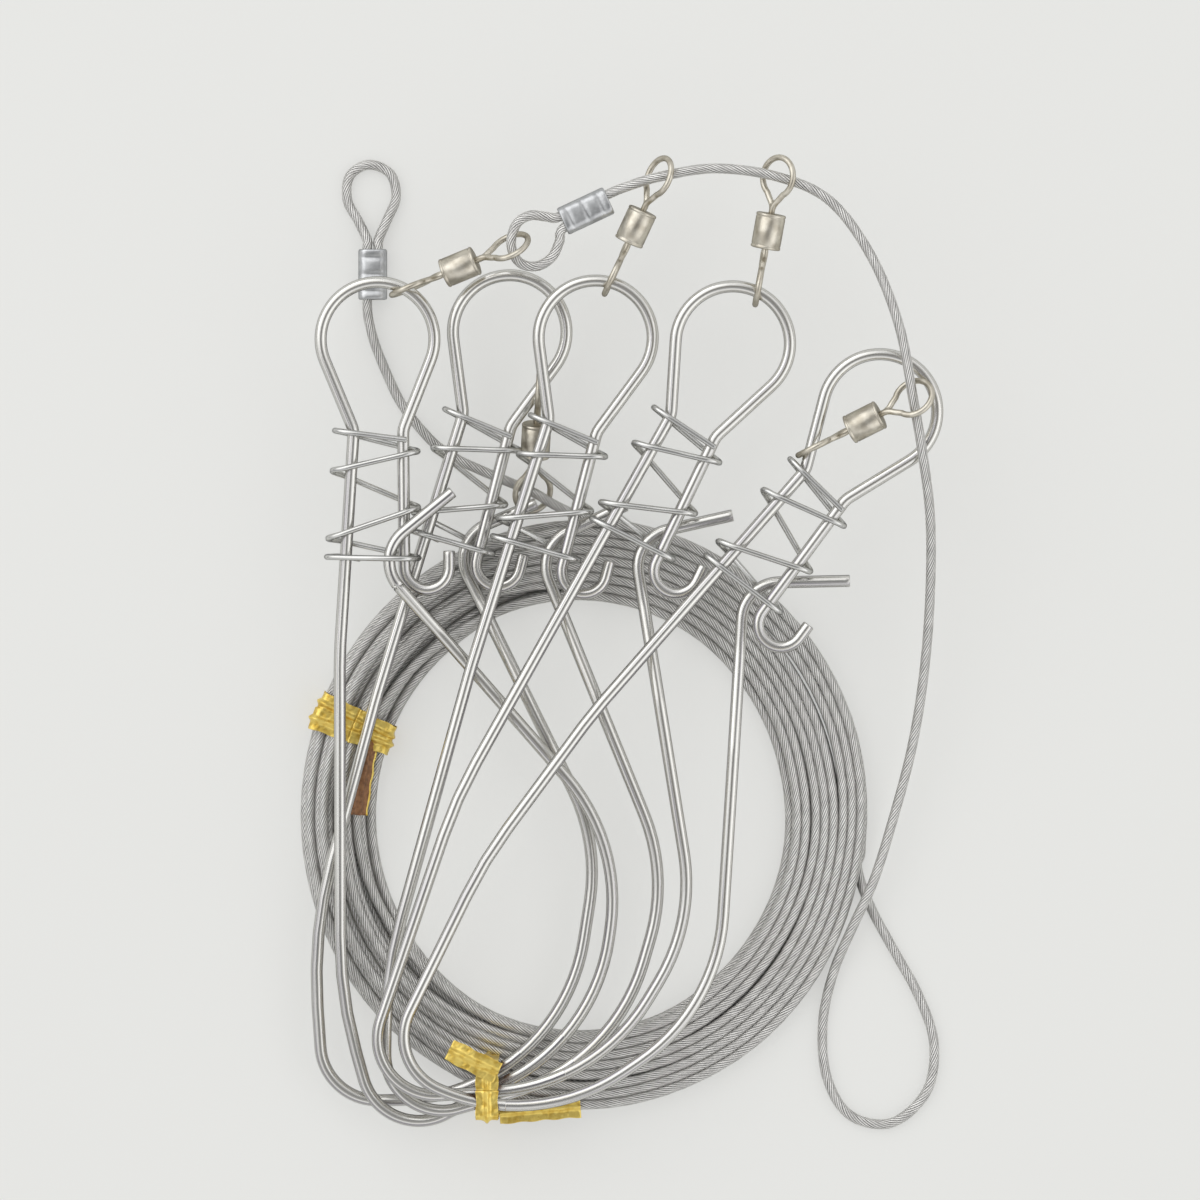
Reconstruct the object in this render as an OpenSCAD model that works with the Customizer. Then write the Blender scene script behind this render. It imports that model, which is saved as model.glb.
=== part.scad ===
// Fish stringer: a coiled, clear coated steel cable that carries five large snap hooks.
// Each hook is one bent stainless wire with a springy gate leg, kept shut by a thin wire
// lock spring wound round its neck, and hangs from the cable on a barrel swivel.
// The whole set lies as it is packed: coil on the floor, the hooks fanned in a pile on it.
// X runs to the right, Y up the necks of the hooks, Z out of the pile.

/* [Cable] */
// Diameter of the coated cable
cable_d = 1.6; // [1.4:0.05:1.7]
// Whole turns in the coil, wound in two layers
coil_turns = 18; // [12:1:20]
// Free space between neighbouring turns
coil_gap = 0.44; // [0.42:0.02:0.6]
// Outer radius of the coil, across its narrower way
coil_r = 45.1; // [43:0.5:47]
// How much taller the coil is than wide
coil_oval_share = 1.046; // [1:0.002:1.06]

/* [Hook wire] */
// Diameter of the hooks' stainless wire
wire_d = 1.9; // [1.7:0.05:2]
// Distance between the two legs of a neck, centre to centre
neck_w = 7.8; // [7.4:0.1:8.4]
// Length of the right leg of a neck, down to its curl
neck_l = 21.8; // [21:0.2:23]
// Centreline radius of the round eye above a neck
eye_r = 9; // [8.6:0.1:9.4]
// Angle between an eye's legs and the neck
flare_a = 22; // [20:0.5:24]
// Centreline radius of the curl that ends the right leg
curl_r = 3.2; // [3:0.1:3.4]
// Straight tip of the curl past its half circle
curl_tip = 2.8; // [2:0.2:3.4]
// Centreline radius of the bend that turns the gate into its latch tip
latch_bend_r = 6; // [5:0.5:6.5]

/* [Lock spring] */
// Diameter of the lock spring's wire
spring_d = 0.9; // [0.8:0.05:0.95]
// How far the spring stands out past the left leg, leg axis to strand axis
spring_out_left = 3.0; // [2.8:0.1:3.3]
// How far the spring stands out past the right leg
spring_out_right = 2.3; // [2.2:0.1:2.5]

/* [Swivel] */
// Diameter of the wire of a swivel's eyes
eye_wire_d = 0.95; // [0.8:0.05:1]
// Outer diameter of a swivel's barrel
barrel_d = 4.7; // [4.4:0.1:5]
// Length of a swivel's barrel
barrel_l = 5.6; // [5.4:0.1:6.4]
// Distance between the centres of a swivel's two eyes
swivel_l = 17.2; // [17:0.1:17.6]
// Centreline radius of a swivel's eyes
swivel_eye_r = 3.1; // [3.05:0.05:3.2]

/* [Ties and ferrules] */
// Width of the foil strip of a twist tie
tie_w = 3.5; // [3:0.1:4]
// Thickness of that strip
tie_t = 0.3; // [0.24:0.02:0.4]
// Diameter of the steel core in that strip
core_d = 0.5; // [0.4:0.02:0.55]
// Length of the crimped ferrule that closes a cable end loop
ferrule_l = 8; // [7:0.2:9]
// Wall of the ferrule
ferrule_wall = 0.6; // [0.5:0.05:0.7]

/* [Hidden] */
$fn = 48;

// Clearances between pieces that touch or slide
stack_gap = 0.35;
latch_gap = 0.2;
spring_gap = 0.25;
rest_gap = 0.2;
run_gap = 0.075;
cut = 1;

// Where the layout of the photographed pile sits about the part's origin
pile_shift = [-3.51, 7.04, 0];
coil_centre = [-3.2, -34.4];

// Cable coil: it spirals in along the upper layer and out again along the lower one
coil_angle_in = 84;
coil_angle_out = -5;
coil_steps = 24;
coil_sides = 6;
run_sides = 8;
layer_pitch = cable_d + coil_gap;
floor_cut = cable_d / 10;
z_low = cable_d / 2 - floor_cut;
z_high = z_low + layer_pitch;
coil_top = z_high + cable_d / 2;
turns = coil_turns + (coil_angle_in - coil_angle_out) / 360;
coil_start_r = coil_r - cable_d / 2;
coil_inner_r = coil_start_r - layer_pitch * turns / 2 - cable_d / 2;

// Hooks from left to right: place of the neck top about the coil centre, as shares of the
// coil radius, then the direction of the neck and the level in the pile, 0 lowest
neck_place_shares = [[-0.706, 1.361], [-0.326, 1.396], [-0.024, 1.376], [0.397, 1.376], [0.856, 1.171]];
neck_angle = [90.5, 75.5, 75.5, 64.5, 53.5];
level = [1, 0, 2, 3, 4];
hook_l = 116;
// Corners of each hook's loop, as shares of the hook's length, from the neck down the long
// leg, round the bottom and up to the belly of the gate
loop_shares = [
  [[-0.056, -0.306], [-0.060, -0.772], [-0.004, -0.983], [0.289, -0.828], [0.328, -0.565]],
  [[-0.052, -0.405], [-0.056, -0.741], [0.017, -0.961], [0.328, -0.875], [0.293, -0.522]],
  [[-0.052, -0.353], [-0.060, -0.784], [-0.009, -0.996], [0.272, -0.828], [0.280, -0.560]],
  [[-0.052, -0.280], [-0.073, -0.595], [-0.022, -1.030], [0.267, -0.866], [0.293, -0.608]],
  [[-0.069, -0.435], [-0.069, -0.685], [-0.013, -0.991], [0.207, -0.940], [0.306, -0.659]],
];
loop_bend_shares = [0.52, 0.6, 0.078, 0.26, 0.26];
// Where the bottom bend passes from frame to gate, as a share of the bend's angle
split_share = [0.35, 0.5, 0.35, 0.35, 0.35];
latch_share = [-0.13, -0.917];
stub_share = [[1.5, -0.45], [1.4, -0.5], [1.45, -0.46], [1.5, -0.46], [1.56, -0.45]];
neck_bend_share = 2;
ramp_share = [[0.33, 0.79], [0.48, 1.2], [0.48, 1.2], [0.48, 1.2], [0.48, 1.2]];
half_neck = neck_w / 2;
gate_dip = wire_d + latch_gap;
gate_side = [1, -1, -1, -1, -1];
stack_pitch = wire_d + stack_gap;
eye_up = (eye_r - half_neck * cos(flare_a)) / sin(flare_a);
eye_turn = (180 + 2 * flare_a) / 3;
wire_sides = 10;
arc_step = 18;

// Lock springs: depth below the neck top of every half turn, as shares of the neck's length,
// from the cut end at the front right to the end behind the left leg
spring_depth_shares = [0.083, 0, 0.156, 0.294, 0.564, 0.784, 0.931, 0.917];
spring_corner_share = 0.74;
spring_sides = 6;
spring_h = wire_d / 2 + spring_d / 2 + spring_gap;
spring_deep = gate_dip + wire_d / 2 + spring_d / 2 + latch_gap;

// The pile rests on the coil with its lowest spring and its lowest bottom bend
pile_y = 2.5;
pile_foot_y = -80;
pile_z = coil_top + rest_gap + spring_deep + spring_d / 2;
foot_z = coil_top + rest_gap + wire_d / 2;
pile_tilt = atan((pile_z - foot_z) / (pile_y - pile_foot_y));

// Swivels: the place on the hook's eye that each hangs from, as an angle round the eye or
// else as a height up a flare and its side, where it points, the height of its cable eye and
// the tilt of that eye, and how far the hook's wire lies off the middle of the eye round it
seat_angle = [60, undef, 90, 90, undef];
seat_up = [0, 6.9, 0, 0, 3.2];
seat_side = [1, 1, 1, 1, -1];
aim = [22, -93.5, 65, 80, 26.5];
cable_eye_z = [14.4, 3.9, 16.6, 18.5, 20.9];
seat_play = [0.8, 0, 1.1, 1.1, 0.9];
eye_tilt = [58, 28, 56, 42, 38];
barrel_wall = 0.5;
barrel_end = 0.8;
barrel_round = 0.5;
head_d = 2.4;
head_t = 0.8;
head_gap = 0.1;

// Route of the cable beyond its left end in the coil, through the second swivel's eye and up
// to the ferrule
left_route = [
  [-4, 13.6, 2.9], [-7.5, 15.3, 3.7], [-10.7, 17.2, 3.9], [-15, 19, 3.2], [-19.2, 20.8, 1.9], [-23, 22.6, 1],
  [-27, 25.5, 0.64], [-31.5, 31, 0.64], [-34, 36, 0.8], [-36, 41, 1.1], [-37, 45, 1.4],
];
left_loop = [
  [-37.2, 57.5, 1.4], [-38.6, 60.5, 1], [-40.4, 64, 0.64], [-40, 67.8, 0.64], [-37, 69.6, 0.64],
  [-33.6, 68.2, 0.64], [-32.6, 64.5, 0.64], [-34, 60.8, 1], [-35.4, 57.5, 1.4],
];
left_ferrule = [-37.2, 48, 1.5];
left_ferrule_turn = 90;
left_ferrule_side = -1;
// Route beyond the right end: the loose bight on the floor, the climb to the swivels' eyes
// and the end loop that holds the first swivel
right_route = [
  [41.1, -42.4, 0.64], [42, -46, 0.64], [44, -50.6, 0.64], [47.2, -56.4, 0.64], [51, -63.4, 0.64],
  [53.4, -71, 0.64], [52.2, -78.6, 0.64], [46.6, -83.6, 0.64], [40, -82.4, 0.64], [36.3, -76.4, 0.64],
  [35.6, -68, 0.64], [37.2, -59.8, 1.4], [40.2, -52.4, 2.8], [43.6, -44.8, 3.8], [46.6, -35.2, 4.4],
  [49.6, -23.6, 5.4], [51.4, -12, 7.2], [52.2, 0, 10.4], [52, 12.4, 15.8], [50.6, 22.6, 19.9],
  [49, 31.6, 20.9], [46.8, 43, 20.9], [42.4, 54, 20.4], [36, 62.6, 19.6], [27.9, 66.4, 18.5],
  [18, 67.8, 17.5], [9.2, 66.5, 16.6], [4, 65, 15.5],
];
right_loop = [
  [-8.4, 60.4, 14.6], [-11, 60.6, 14.5], [-13.2, 59.2, 14.4], [-14, 56, 14.4], [-12.7, 53.2, 14.4],
  [-10, 52.6, 14.4], [-7.6, 54, 14.5], [-6.4, 56.4, 14.7],
];
right_ferrule = [1, 63.8, 14.8];
right_ferrule_turn = 205;
right_ferrule_side = 1;
run_steps = 2;
strand_gap = 0.2;
ferrule_gap = 0.06;

// Twist ties: one round the whole band of the coil, one round the feet of the hooks and the
// outer turns under them
coil_tie_angle = 159;
tie_slack = 0.1;
pile_tie_share = [-0.324, -0.958];
pile_tie_heading = 270;
pile_tie_in = 4.9;
pile_tie_out = 4.2;
pile_tie_slack = 0.5;
tie_bend = 0.9;
core_gap = 0.03;
core_sides = 8;
core_w = core_d + 2 * core_gap;
groove_w = 2.4 * core_w;
groove_h = core_d + 2 * core_gap;
hump_h = groove_h + tie_t / 2;
join_gap = 0.02;
coil_tail_in = 8;
coil_tail_l = 12;
coil_tail_turn = 20;
pile_tail_l = [8.5, 13];
pile_tail_turn = [26, 5];
pile_tail_z = coil_top + tie_slack;

function unit(v) = v / norm(v);
function clamp(x) = min(1, max(0, x));
function along(p, i) = unit(p[min(i + 1, len(p) - 1)] - p[max(i - 1, 0)]);
function square_to(v, way) = unit(v - (v * way) * way);
function raised(p, lowest) = is_undef(lowest) ? p : [p.x, p.y, max(p.z, lowest)];

// The upward direction at each point of a path, carried along it without a twist
function ups_along(p, up) =
  [for (i = 0, u = square_to(up, along(p, 0)); i < len(p);
    i = i + 1, u = square_to(u, along(p, min(i, len(p) - 1)))) u];

// A closed solid whose section, drawn across and up, follows a path; it is cut flat at the
// lowest height if there is one. Each end is closed by strips from side to side
module sweep(path, section, up, lowest, first_way, last_way) {
  n = len(path);
  m = len(section);
  ups = ups_along(path, up);
  ways = [for (i = [0:n - 1]) i == 0 && !is_undef(first_way) ? first_way
    : i == n - 1 && !is_undef(last_way) ? last_way : along(path, i)];
  rings = [
    for (i = [0:n - 1]) let (u = square_to(ups[i], ways[i]), s = cross(ways[i], u)) for (q = section)
      raised(path[i] + q.x * s + q.y * u, lowest)
  ];
  walls = [
    for (i = [0:n - 2]) for (k = [0:m - 1])
      let (a = i * m + k, b = i * m + (k + 1) % m)
      each [[a, b, b + m], [a, b + m, a + m]]
  ];
  caps = [
    for (k = [0:m / 2 - 2])
      let (a = k, b = k + 1, c = m - 2 - k, d = m - 1 - k, e = (n - 1) * m)
      each [[c, b, a], [d, c, a], [a + e, b + e, c + e], [a + e, c + e, d + e]]
  ];
  polyhedron(points = rings, faces = concat(caps, walls));
}

// A round section with a flat face at its bottom
function round_section(r, sides) =
  [for (k = [0:sides - 1]) let (a = 270 + (k + 0.5) * 360 / sides) [r * cos(a), r * sin(a)]];

module tube(path, r, sides, up, lowest) {
  sweep(path, round_section(r, sides), up, lowest);
}

// A smooth curve through the points of a route
function curve_point(a, b, c, d, t) =
  0.5 * (2 * b + (c - a) * t + (2 * a - 5 * b + 4 * c - d) * t * t + (3 * b - a - 3 * c + d) * t * t * t);
function smooth(p, k) = concat(
  [for (i = [0:len(p) - 2]) for (j = [0:k - 1])
    curve_point(p[max(i - 1, 0)], p[i], p[i + 1], p[min(i + 2, len(p) - 1)], j / k)],
  [p[len(p) - 1]]
);

// The frame whose third axis is z and whose first axis is as near to x as it can be
function frame_at(origin, x, z) =
  let (w = unit(z), u = unit(x - (x * w) * w), v = cross(w, u))
  [[u.x, v.x, w.x, origin.x], [u.y, v.y, w.y, origin.y], [u.z, v.z, w.z, origin.z], [0, 0, 0, 1]];

// Bent wire: the points of a line with straight runs between its corners and round bends at
// them, from corner first to corner last, where a share of the bend at either is left out
function bend_angle(p, i) = acos(unit(p[i] - p[i - 1]) * unit(p[i + 1] - p[i]));
function bend_reach(p, r, i) = r[i] * tan(bend_angle(p, i) / 2);
function bend_inward(p, i) = square_to(unit(p[i + 1] - p[i]), unit(p[i] - p[i - 1]));
function bend_point(p, r, i, share) =
  let (a = bend_angle(p, i) * share, n = bend_inward(p, i), u = unit(p[i] - p[i - 1]))
  p[i] - u * bend_reach(p, r, i) + r[i] * (n - cos(a) * n + sin(a) * u);
function bend_points(p, r, i, from, to) =
  let (steps = max(1, round(bend_angle(p, i) * (to - from) / arc_step)))
  [for (j = [0:steps]) bend_point(p, r, i, from + (to - from) * j / steps)];
function bent(p, r, first = 0, last = undef, first_from = 1, last_to = 0) =
  let (end = is_undef(last) ? len(p) - 1 : last)
  apart(concat(
    first == 0 ? [p[0]] : bend_points(p, r, first, first_from, 1),
    [for (i = [first + 1:end - 1]) each bend_points(p, r, i, 0, 1)],
    end == len(p) - 1 ? [p[end]] : bend_points(p, r, end, 0, last_to)
  ));
// The same line without points that fall on the one before
function apart(line) = [for (i = [0:len(line) - 1]) if (i == 0 || norm(line[i] - line[i - 1]) > wire_d / 20) line[i]];

// Coil
function coil_point(t) =
  let (
    a = coil_angle_in - 360 * t,
    r = coil_start_r - layer_pitch * min(t, turns - t),
    z = z_high + (z_low - z_high) * clamp((t - turns / 2) * 2 + 0.5)
  )
  [coil_centre.x + r * cos(a), coil_centre.y + r * coil_oval_share * sin(a), z];
coil_rings = round(turns * coil_steps);
coil_turned = [for (i = [0:coil_rings]) coil_point(turns * i / coil_rings)];
coil_in_way = unit(coil_turned[0] - coil_turned[1]);
coil_out_way = unit(coil_turned[coil_rings] - coil_turned[coil_rings - 1]);
coil_path = concat(
  [coil_turned[0] + coil_in_way * cable_d], coil_turned, [coil_turned[coil_rings] + coil_out_way * cable_d]
);

// Free runs of the cable: each leaves the coil straight and ends in a loop closed by a
// ferrule, whose second strand comes back at its side
strand_pitch = cable_d + strand_gap;
function level_way(turn) = [cos(turn), sin(turn), 0];
function sleeve_strand(from, turn) = [from, from + ferrule_l * level_way(turn)];
function sleeve_strand_back(from, turn, side) =
  let (across = side * strand_pitch * level_way(turn + 90), first = sleeve_strand(from, turn))
  [first[1] + across, first[0] + across];
left_path = concat(
  [coil_path[0]],
  smooth(concat([coil_path[0] + coil_in_way * cable_d], left_route), run_steps),
  sleeve_strand(left_ferrule, left_ferrule_turn),
  smooth(left_loop, run_steps),
  sleeve_strand_back(left_ferrule, left_ferrule_turn, left_ferrule_side)
);
right_path = concat(
  [coil_path[len(coil_path) - 1]],
  smooth(concat([coil_path[len(coil_path) - 1] + coil_out_way * cable_d], right_route), run_steps),
  sleeve_strand(right_ferrule, right_ferrule_turn),
  smooth(right_loop, run_steps),
  sleeve_strand_back(right_ferrule, right_ferrule_turn, right_ferrule_side)
);

// Length of the cable, and the least gap of a wound form to itself, from points along it
function length_of(path) = let (steps = [for (i = [1:len(path) - 1]) norm(path[i] - path[i - 1])]) steps * [for (s = steps) 1];
function least_gap(path, d, apart_by) =
  min([for (i = [0:len(path) - apart_by - 1]) for (j = [i + apart_by:len(path) - 1]) norm(path[j] - path[i])]) - d;
function halved(path) =
  [for (i = [0:2 * len(path) - 2]) i % 2 == 0 ? path[i / 2] : (path[(i - 1) / 2] + path[(i + 1) / 2]) / 2];

module laid() {
  translate(pile_shift) children();
}

module cable_coil() {
  color("silver") laid() tube(coil_path, cable_d / 2, coil_sides, [0, 0, 1], 0);
}

module cable_left_run() {
  color("silver") laid() tube(left_path, cable_d / 2, run_sides, [0, 0, 1], 0);
}

module cable_right_run() {
  color("silver") laid() tube(right_path, cable_d / 2, run_sides, [0, 0, 1], 0);
}

// Crimped sleeve round the two strands of an end loop, along the straight piece of the first
module ferrule(from, turn, side) {
  outer = cable_d + 2 * ferrule_wall;
  bore = cable_d + 2 * ferrule_gap;
  laid() multmatrix(frame_at(from, side * level_way(turn + 90), level_way(turn))) difference() {
    union() {
      cylinder(h = ferrule_l, d = outer);
      translate([strand_pitch, 0, 0]) cylinder(h = ferrule_l, d = outer);
      translate([0, -outer / 2, 0]) cube([strand_pitch, outer, ferrule_l]);
    }
    for (x = [0, strand_pitch]) translate([x, 0, -cut]) cylinder(h = ferrule_l + 2 * cut, d = bore);
  }
}

module ferrule_left() {
  color("gainsboro") ferrule(left_ferrule, left_ferrule_turn, left_ferrule_side);
}

module ferrule_right() {
  color("gainsboro") ferrule(right_ferrule, right_ferrule_turn, right_ferrule_side);
}

// Hooks: corner points and bend radii of one wire, in the hook's own plane
function loop_corner(i, k) = [hook_l * loop_shares[i][k].x, hook_l * loop_shares[i][k].y, 0];
function eye_corner(a) = [eye_r / cos(eye_turn / 2) * cos(a), eye_up + eye_r / cos(eye_turn / 2) * sin(a), 0];
function latch_corner(i) = [neck_w * latch_share.x, neck_l * latch_share.y, gate_side[i] * gate_dip];
function stub_end(i) = [neck_w * stub_share[i].x, neck_l * stub_share[i].y, gate_side[i] * gate_dip];
function ramp_corner(i, share, z) =
  let (a = [latch_corner(i).x, latch_corner(i).y, 0], b = loop_corner(i, 4))
  a + unit(b - a) * share * neck_l + [0, 0, z];
function hook_corners(i) = [
  [half_neck + 2 * curl_r, curl_tip - neck_l, 0],
  [half_neck + 2 * curl_r, -neck_l - curl_r, 0],
  [half_neck, -neck_l - curl_r, 0],
  [half_neck, 0, 0],
  eye_corner(eye_turn / 2 - flare_a), eye_corner(90), eye_corner(180 + flare_a - eye_turn / 2),
  [-half_neck, 0, 0],
  loop_corner(i, 0), loop_corner(i, 1), loop_corner(i, 2), loop_corner(i, 3), loop_corner(i, 4),
  ramp_corner(i, ramp_share[i][1], 0), ramp_corner(i, ramp_share[i][0], gate_side[i] * gate_dip),
  latch_corner(i), stub_end(i),
];
hook_bends = concat(
  [0, curl_r, curl_r, neck_bend_share * wire_d, eye_r, eye_r, eye_r, neck_bend_share * wire_d],
  [for (s = loop_bend_shares) s * hook_l],
  [latch_bend_r, latch_bend_r, latch_bend_r, 0]
);
split_corner = 11;
wire_section = round_section(wire_d / 2, wire_sides);
function split_way(i) =
  let (p = hook_corners(i), c = split_corner, a = bend_angle(p, c) * split_share[i])
  unit(p[c] - p[c - 1]) * cos(a) + bend_inward(p, c) * sin(a);

// From a hook's own plane to the pile, and from the pile's tilted planes to the floor's
function neck_top(i) = [
  coil_centre.x + coil_r * neck_place_shares[i].x, coil_centre.y + coil_r * neck_place_shares[i].y,
  level[i] * stack_pitch
];
function turned(p, a) = [p.x * cos(a) - p.y * sin(a), p.x * sin(a) + p.y * cos(a), p.z];
function in_pile(i, p) = neck_top(i) + turned(p, neck_angle[i] - 90);
function on_coil(p) =
  let (y = p.y - pile_y)
  [p.x, pile_y + y * cos(pile_tilt) - p.z * sin(pile_tilt), pile_z + y * sin(pile_tilt) + p.z * cos(pile_tilt)];

module pile() {
  laid() translate([0, pile_y, pile_z]) rotate([pile_tilt, 0, 0]) translate([0, -pile_y, 0]) children();
}

module at_neck(i) {
  pile() translate(neck_top(i)) rotate([0, 0, neck_angle[i] - 90]) children();
}

module hook_frame(i) {
  color("lightgray") at_neck(i)
    sweep(
      bent(hook_corners(i), hook_bends, 0, split_corner, 1, split_share[i]), wire_section, [0, 0, 1],
      last_way = split_way(i)
    );
}

module hook_gate(i) {
  color("whitesmoke") at_neck(i)
    sweep(
      bent(hook_corners(i), hook_bends, split_corner, undef, split_share[i]), wire_section, [0, 0, 1],
      first_way = split_way(i)
    );
}

// Lock spring: its strands pass over the legs in front and under them behind, and the last
// turn goes round the gate's tip as well
function leg_lean(i) = -(loop_corner(i, 0).x + half_neck) / -loop_corner(i, 0).y;
function spring_side(k) = k % 2 == 0 ? 1 : -1;
function spring_edge(i, k) =
  let (y = -neck_l * spring_depth_shares[k])
  k % 2 == 0
    ? [half_neck + spring_out_right, y, 0]
    : [-half_neck + leg_lean(i) * y - spring_out_left, y, 0];
function strand_point(i, k, x, z) =
  let (a = spring_edge(i, k), b = spring_edge(i, k + 1)) [x, a.y + (b.y - a.y) * (x - a.x) / (b.x - a.x), z];
function spring_corner_x(i, k) =
  spring_edge(i, k).x - spring_side(k) * spring_corner_share * (k % 2 == 0 ? spring_out_right : spring_out_left);
// A strand is deep where the gate's tip lies under it, from its middle to its right end
function strand(i, k) =
  let (
    front = k % 2 == 0 ? 1 : -1,
    deep = front == gate_side[i] && k >= 5,
    flat_z = front * spring_h,
    deep_z = deep ? front * spring_deep : flat_z,
    x0 = spring_corner_x(i, k),
    x1 = spring_corner_x(i, k + 1)
  )
  [
    spring_edge(i, k),
    strand_point(i, k, x0, k % 2 == 0 ? deep_z : flat_z),
    strand_point(i, k, (x0 + x1) / 2, deep_z),
    strand_point(i, k, x1, k % 2 == 0 ? flat_z : deep_z),
  ];
last_strand = len(spring_depth_shares) - 2;
function spring_tail(i) =
  let (e = spring_edge(i, last_strand + 1), x = spring_corner_x(i, last_strand + 1))
  [e, [x, e.y, -spring_h], [x + spring_out_left, e.y - spring_d / 2, -spring_h]];
function spring_path(i) = concat(
  [for (k = [0:last_strand]) for (j = [0:3]) if (k > 0 || j > 0) strand(i, k)[j]], spring_tail(i)
);

module lock_spring(i) {
  color("silver") at_neck(i) tube(spring_path(i), spring_d / 2, spring_sides, [0, 1, 0]);
}

// Swivel: two wire eyes whose headed shanks turn inside a hollow barrel
function seat_point(i) =
  is_undef(seat_angle[i])
    ? [seat_side[i] * (half_neck + seat_up[i] * tan(flare_a)), seat_up[i], 0]
    : [eye_r * cos(seat_angle[i]), eye_up + eye_r * sin(seat_angle[i]), 0];
function seat(i) = on_coil(in_pile(i, seat_point(i)));
function cable_eye(i) =
  let (s = seat(i), l = swivel_l + seat_play[i], dz = cable_eye_z[i] - s.z, reach = sqrt(l * l - dz * dz))
  s + [reach * cos(aim[i]), reach * sin(aim[i]), dz];
function swivel_way(i) = unit(cable_eye(i) - seat(i));
function swivel_up(i) = let (u = swivel_way(i)) unit([0, 0, 1] - u.z * u);
function swivel_side(i) = cross(swivel_way(i), swivel_up(i));
function cable_eye_axis(i) = swivel_up(i) * cos(eye_tilt[i]) - swivel_side(i) * sin(eye_tilt[i]);

function hook_eye(i) = seat(i) + seat_play[i] * swivel_way(i);

module wire_eye(centre, way, axis) {
  head_at = swivel_l / 2 - barrel_l / 2 + barrel_end + head_gap;
  multmatrix(frame_at(centre, way, axis)) {
    rotate_extrude() translate([swivel_eye_r, 0]) circle(d = eye_wire_d);
    translate([swivel_eye_r, 0, 0]) rotate([0, 90, 0]) cylinder(h = head_at - swivel_eye_r, d = eye_wire_d);
    translate([head_at, 0, 0]) rotate([0, 90, 0]) cylinder(h = head_t, d = head_d);
  }
}

module swivel_cable_eye(i) {
  color("lightsteelblue") laid() wire_eye(cable_eye(i), -swivel_way(i), cable_eye_axis(i));
}

module swivel_hook_eye(i) {
  color("lightsteelblue") laid() wire_eye(hook_eye(i), swivel_way(i), swivel_side(i));
}

module swivel_barrel(i) {
  r = barrel_d / 2;
  h = barrel_l / 2;
  bore = eye_wire_d / 2 + run_gap;
  color("silver") laid() multmatrix(frame_at((hook_eye(i) + cable_eye(i)) / 2, swivel_up(i), swivel_way(i)))
    rotate_extrude() polygon([
      [bore, -h], [r - barrel_round, -h], [r, barrel_round - h], [r, h - barrel_round], [r - barrel_round, h],
      [bore, h], [bore, h - barrel_end], [r - barrel_wall, h - barrel_end], [r - barrel_wall, barrel_end - h],
      [bore, barrel_end - h],
    ]);
}

// Twist ties: a foil strip, humped over the steel core that runs along its middle
foil_section = [
  [-tie_w / 2, 0], [-groove_w / 2, 0], [-core_w / 2, groove_h], [core_w / 2, groove_h], [groove_w / 2, 0],
  [tie_w / 2, 0], [tie_w / 2, tie_t], [groove_w / 2 + tie_t, tie_t], [core_w / 2 + tie_t / 2, hump_h],
  [-core_w / 2 - tie_t / 2, hump_h], [-groove_w / 2 - tie_t, tie_t], [-tie_w / 2, tie_t],
];
core_section = [for (q = round_section(core_d / 2, core_sides)) q + [0, core_d / 2 + core_gap]];
// Once round a bundle, from its top to its top, on the strip's inner face: its sides and top
function tie_round(inner, outer, top) =
  let (middle = (inner + outer) / 2, line = [
    [middle, 0, top], [outer, 0, top], [outer, 0, hump_h], [inner, 0, hump_h],
    [inner, 0, top], [middle - join_gap, 0, top],
  ])
  bent(line, [for (c = line) tie_bend]);

module tie(round_line, tails, section) {
  sweep(round_line, section, [0, 0, 1]);
  for (tail = tails) sweep(tail, section, [0, 0, 1]);
}

function coil_way(a) = norm([cos(a), coil_oval_share * sin(a)]);
function coil_heading(a) = atan2(coil_oval_share * sin(a), cos(a));
module at_tie(place, heading) {
  laid() translate(place) rotate([0, 0, heading]) children();
}

// The coil tie goes round the whole band, and one end of it lies along the band
coil_tie_outer = coil_r * coil_way(coil_tie_angle) + tie_slack;
coil_tie_inner = coil_inner_r * coil_way(coil_tie_angle) - tie_slack;
coil_tie_line = tie_round(coil_tie_inner, coil_tie_outer, coil_top + tie_slack);
coil_tail_top = coil_top + tie_slack + hump_h + join_gap;
function tail(from, l, turn) =
  [from, from + [l * sin(turn), l * cos(turn), 0] / 2, from + [l * sin(turn), l * cos(turn), 0]];
coil_tail = tail([coil_tie_inner + coil_tail_in, -tie_w / 2, coil_tail_top], coil_tail_l, coil_tail_turn);

module coil_tie_foil() {
  color("gold") at_tie(coil_centre, coil_heading(coil_tie_angle)) tie(coil_tie_line, [coil_tail], foil_section);
}

module coil_tie_core() {
  color("dimgray") at_tie(coil_centre, coil_heading(coil_tie_angle)) tie(coil_tie_line, [coil_tail], core_section);
}

// The pile tie clears the highest wire of the pile above it; one end lies on top, the other
// beside the pile on the coil
pile_tie_place = coil_centre + coil_r * pile_tie_share;
pile_tie_top =
  on_coil([0, pile_tie_place.y, max(level) * stack_pitch + wire_d / 2]).z + pile_tie_slack;
pile_tie_line = tie_round(-pile_tie_in, pile_tie_out, pile_tie_top);
pile_tails = [
  tail([tie_w / 2 - pile_tie_in, tie_w / 2, pile_tie_top + hump_h + join_gap], -pile_tail_l[0], pile_tail_turn[0]),
  tail([pile_tie_out, tie_w / 2 + join_gap, pile_tail_z], pile_tail_l[1], -pile_tail_turn[1]),
];

module pile_tie_foil() {
  color("gold") at_tie(pile_tie_place, pile_tie_heading) tie(pile_tie_line, pile_tails, foil_section);
}

module pile_tie_core() {
  color("dimgray") at_tie(pile_tie_place, pile_tie_heading) tie(pile_tie_line, pile_tails, core_section);
}

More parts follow.
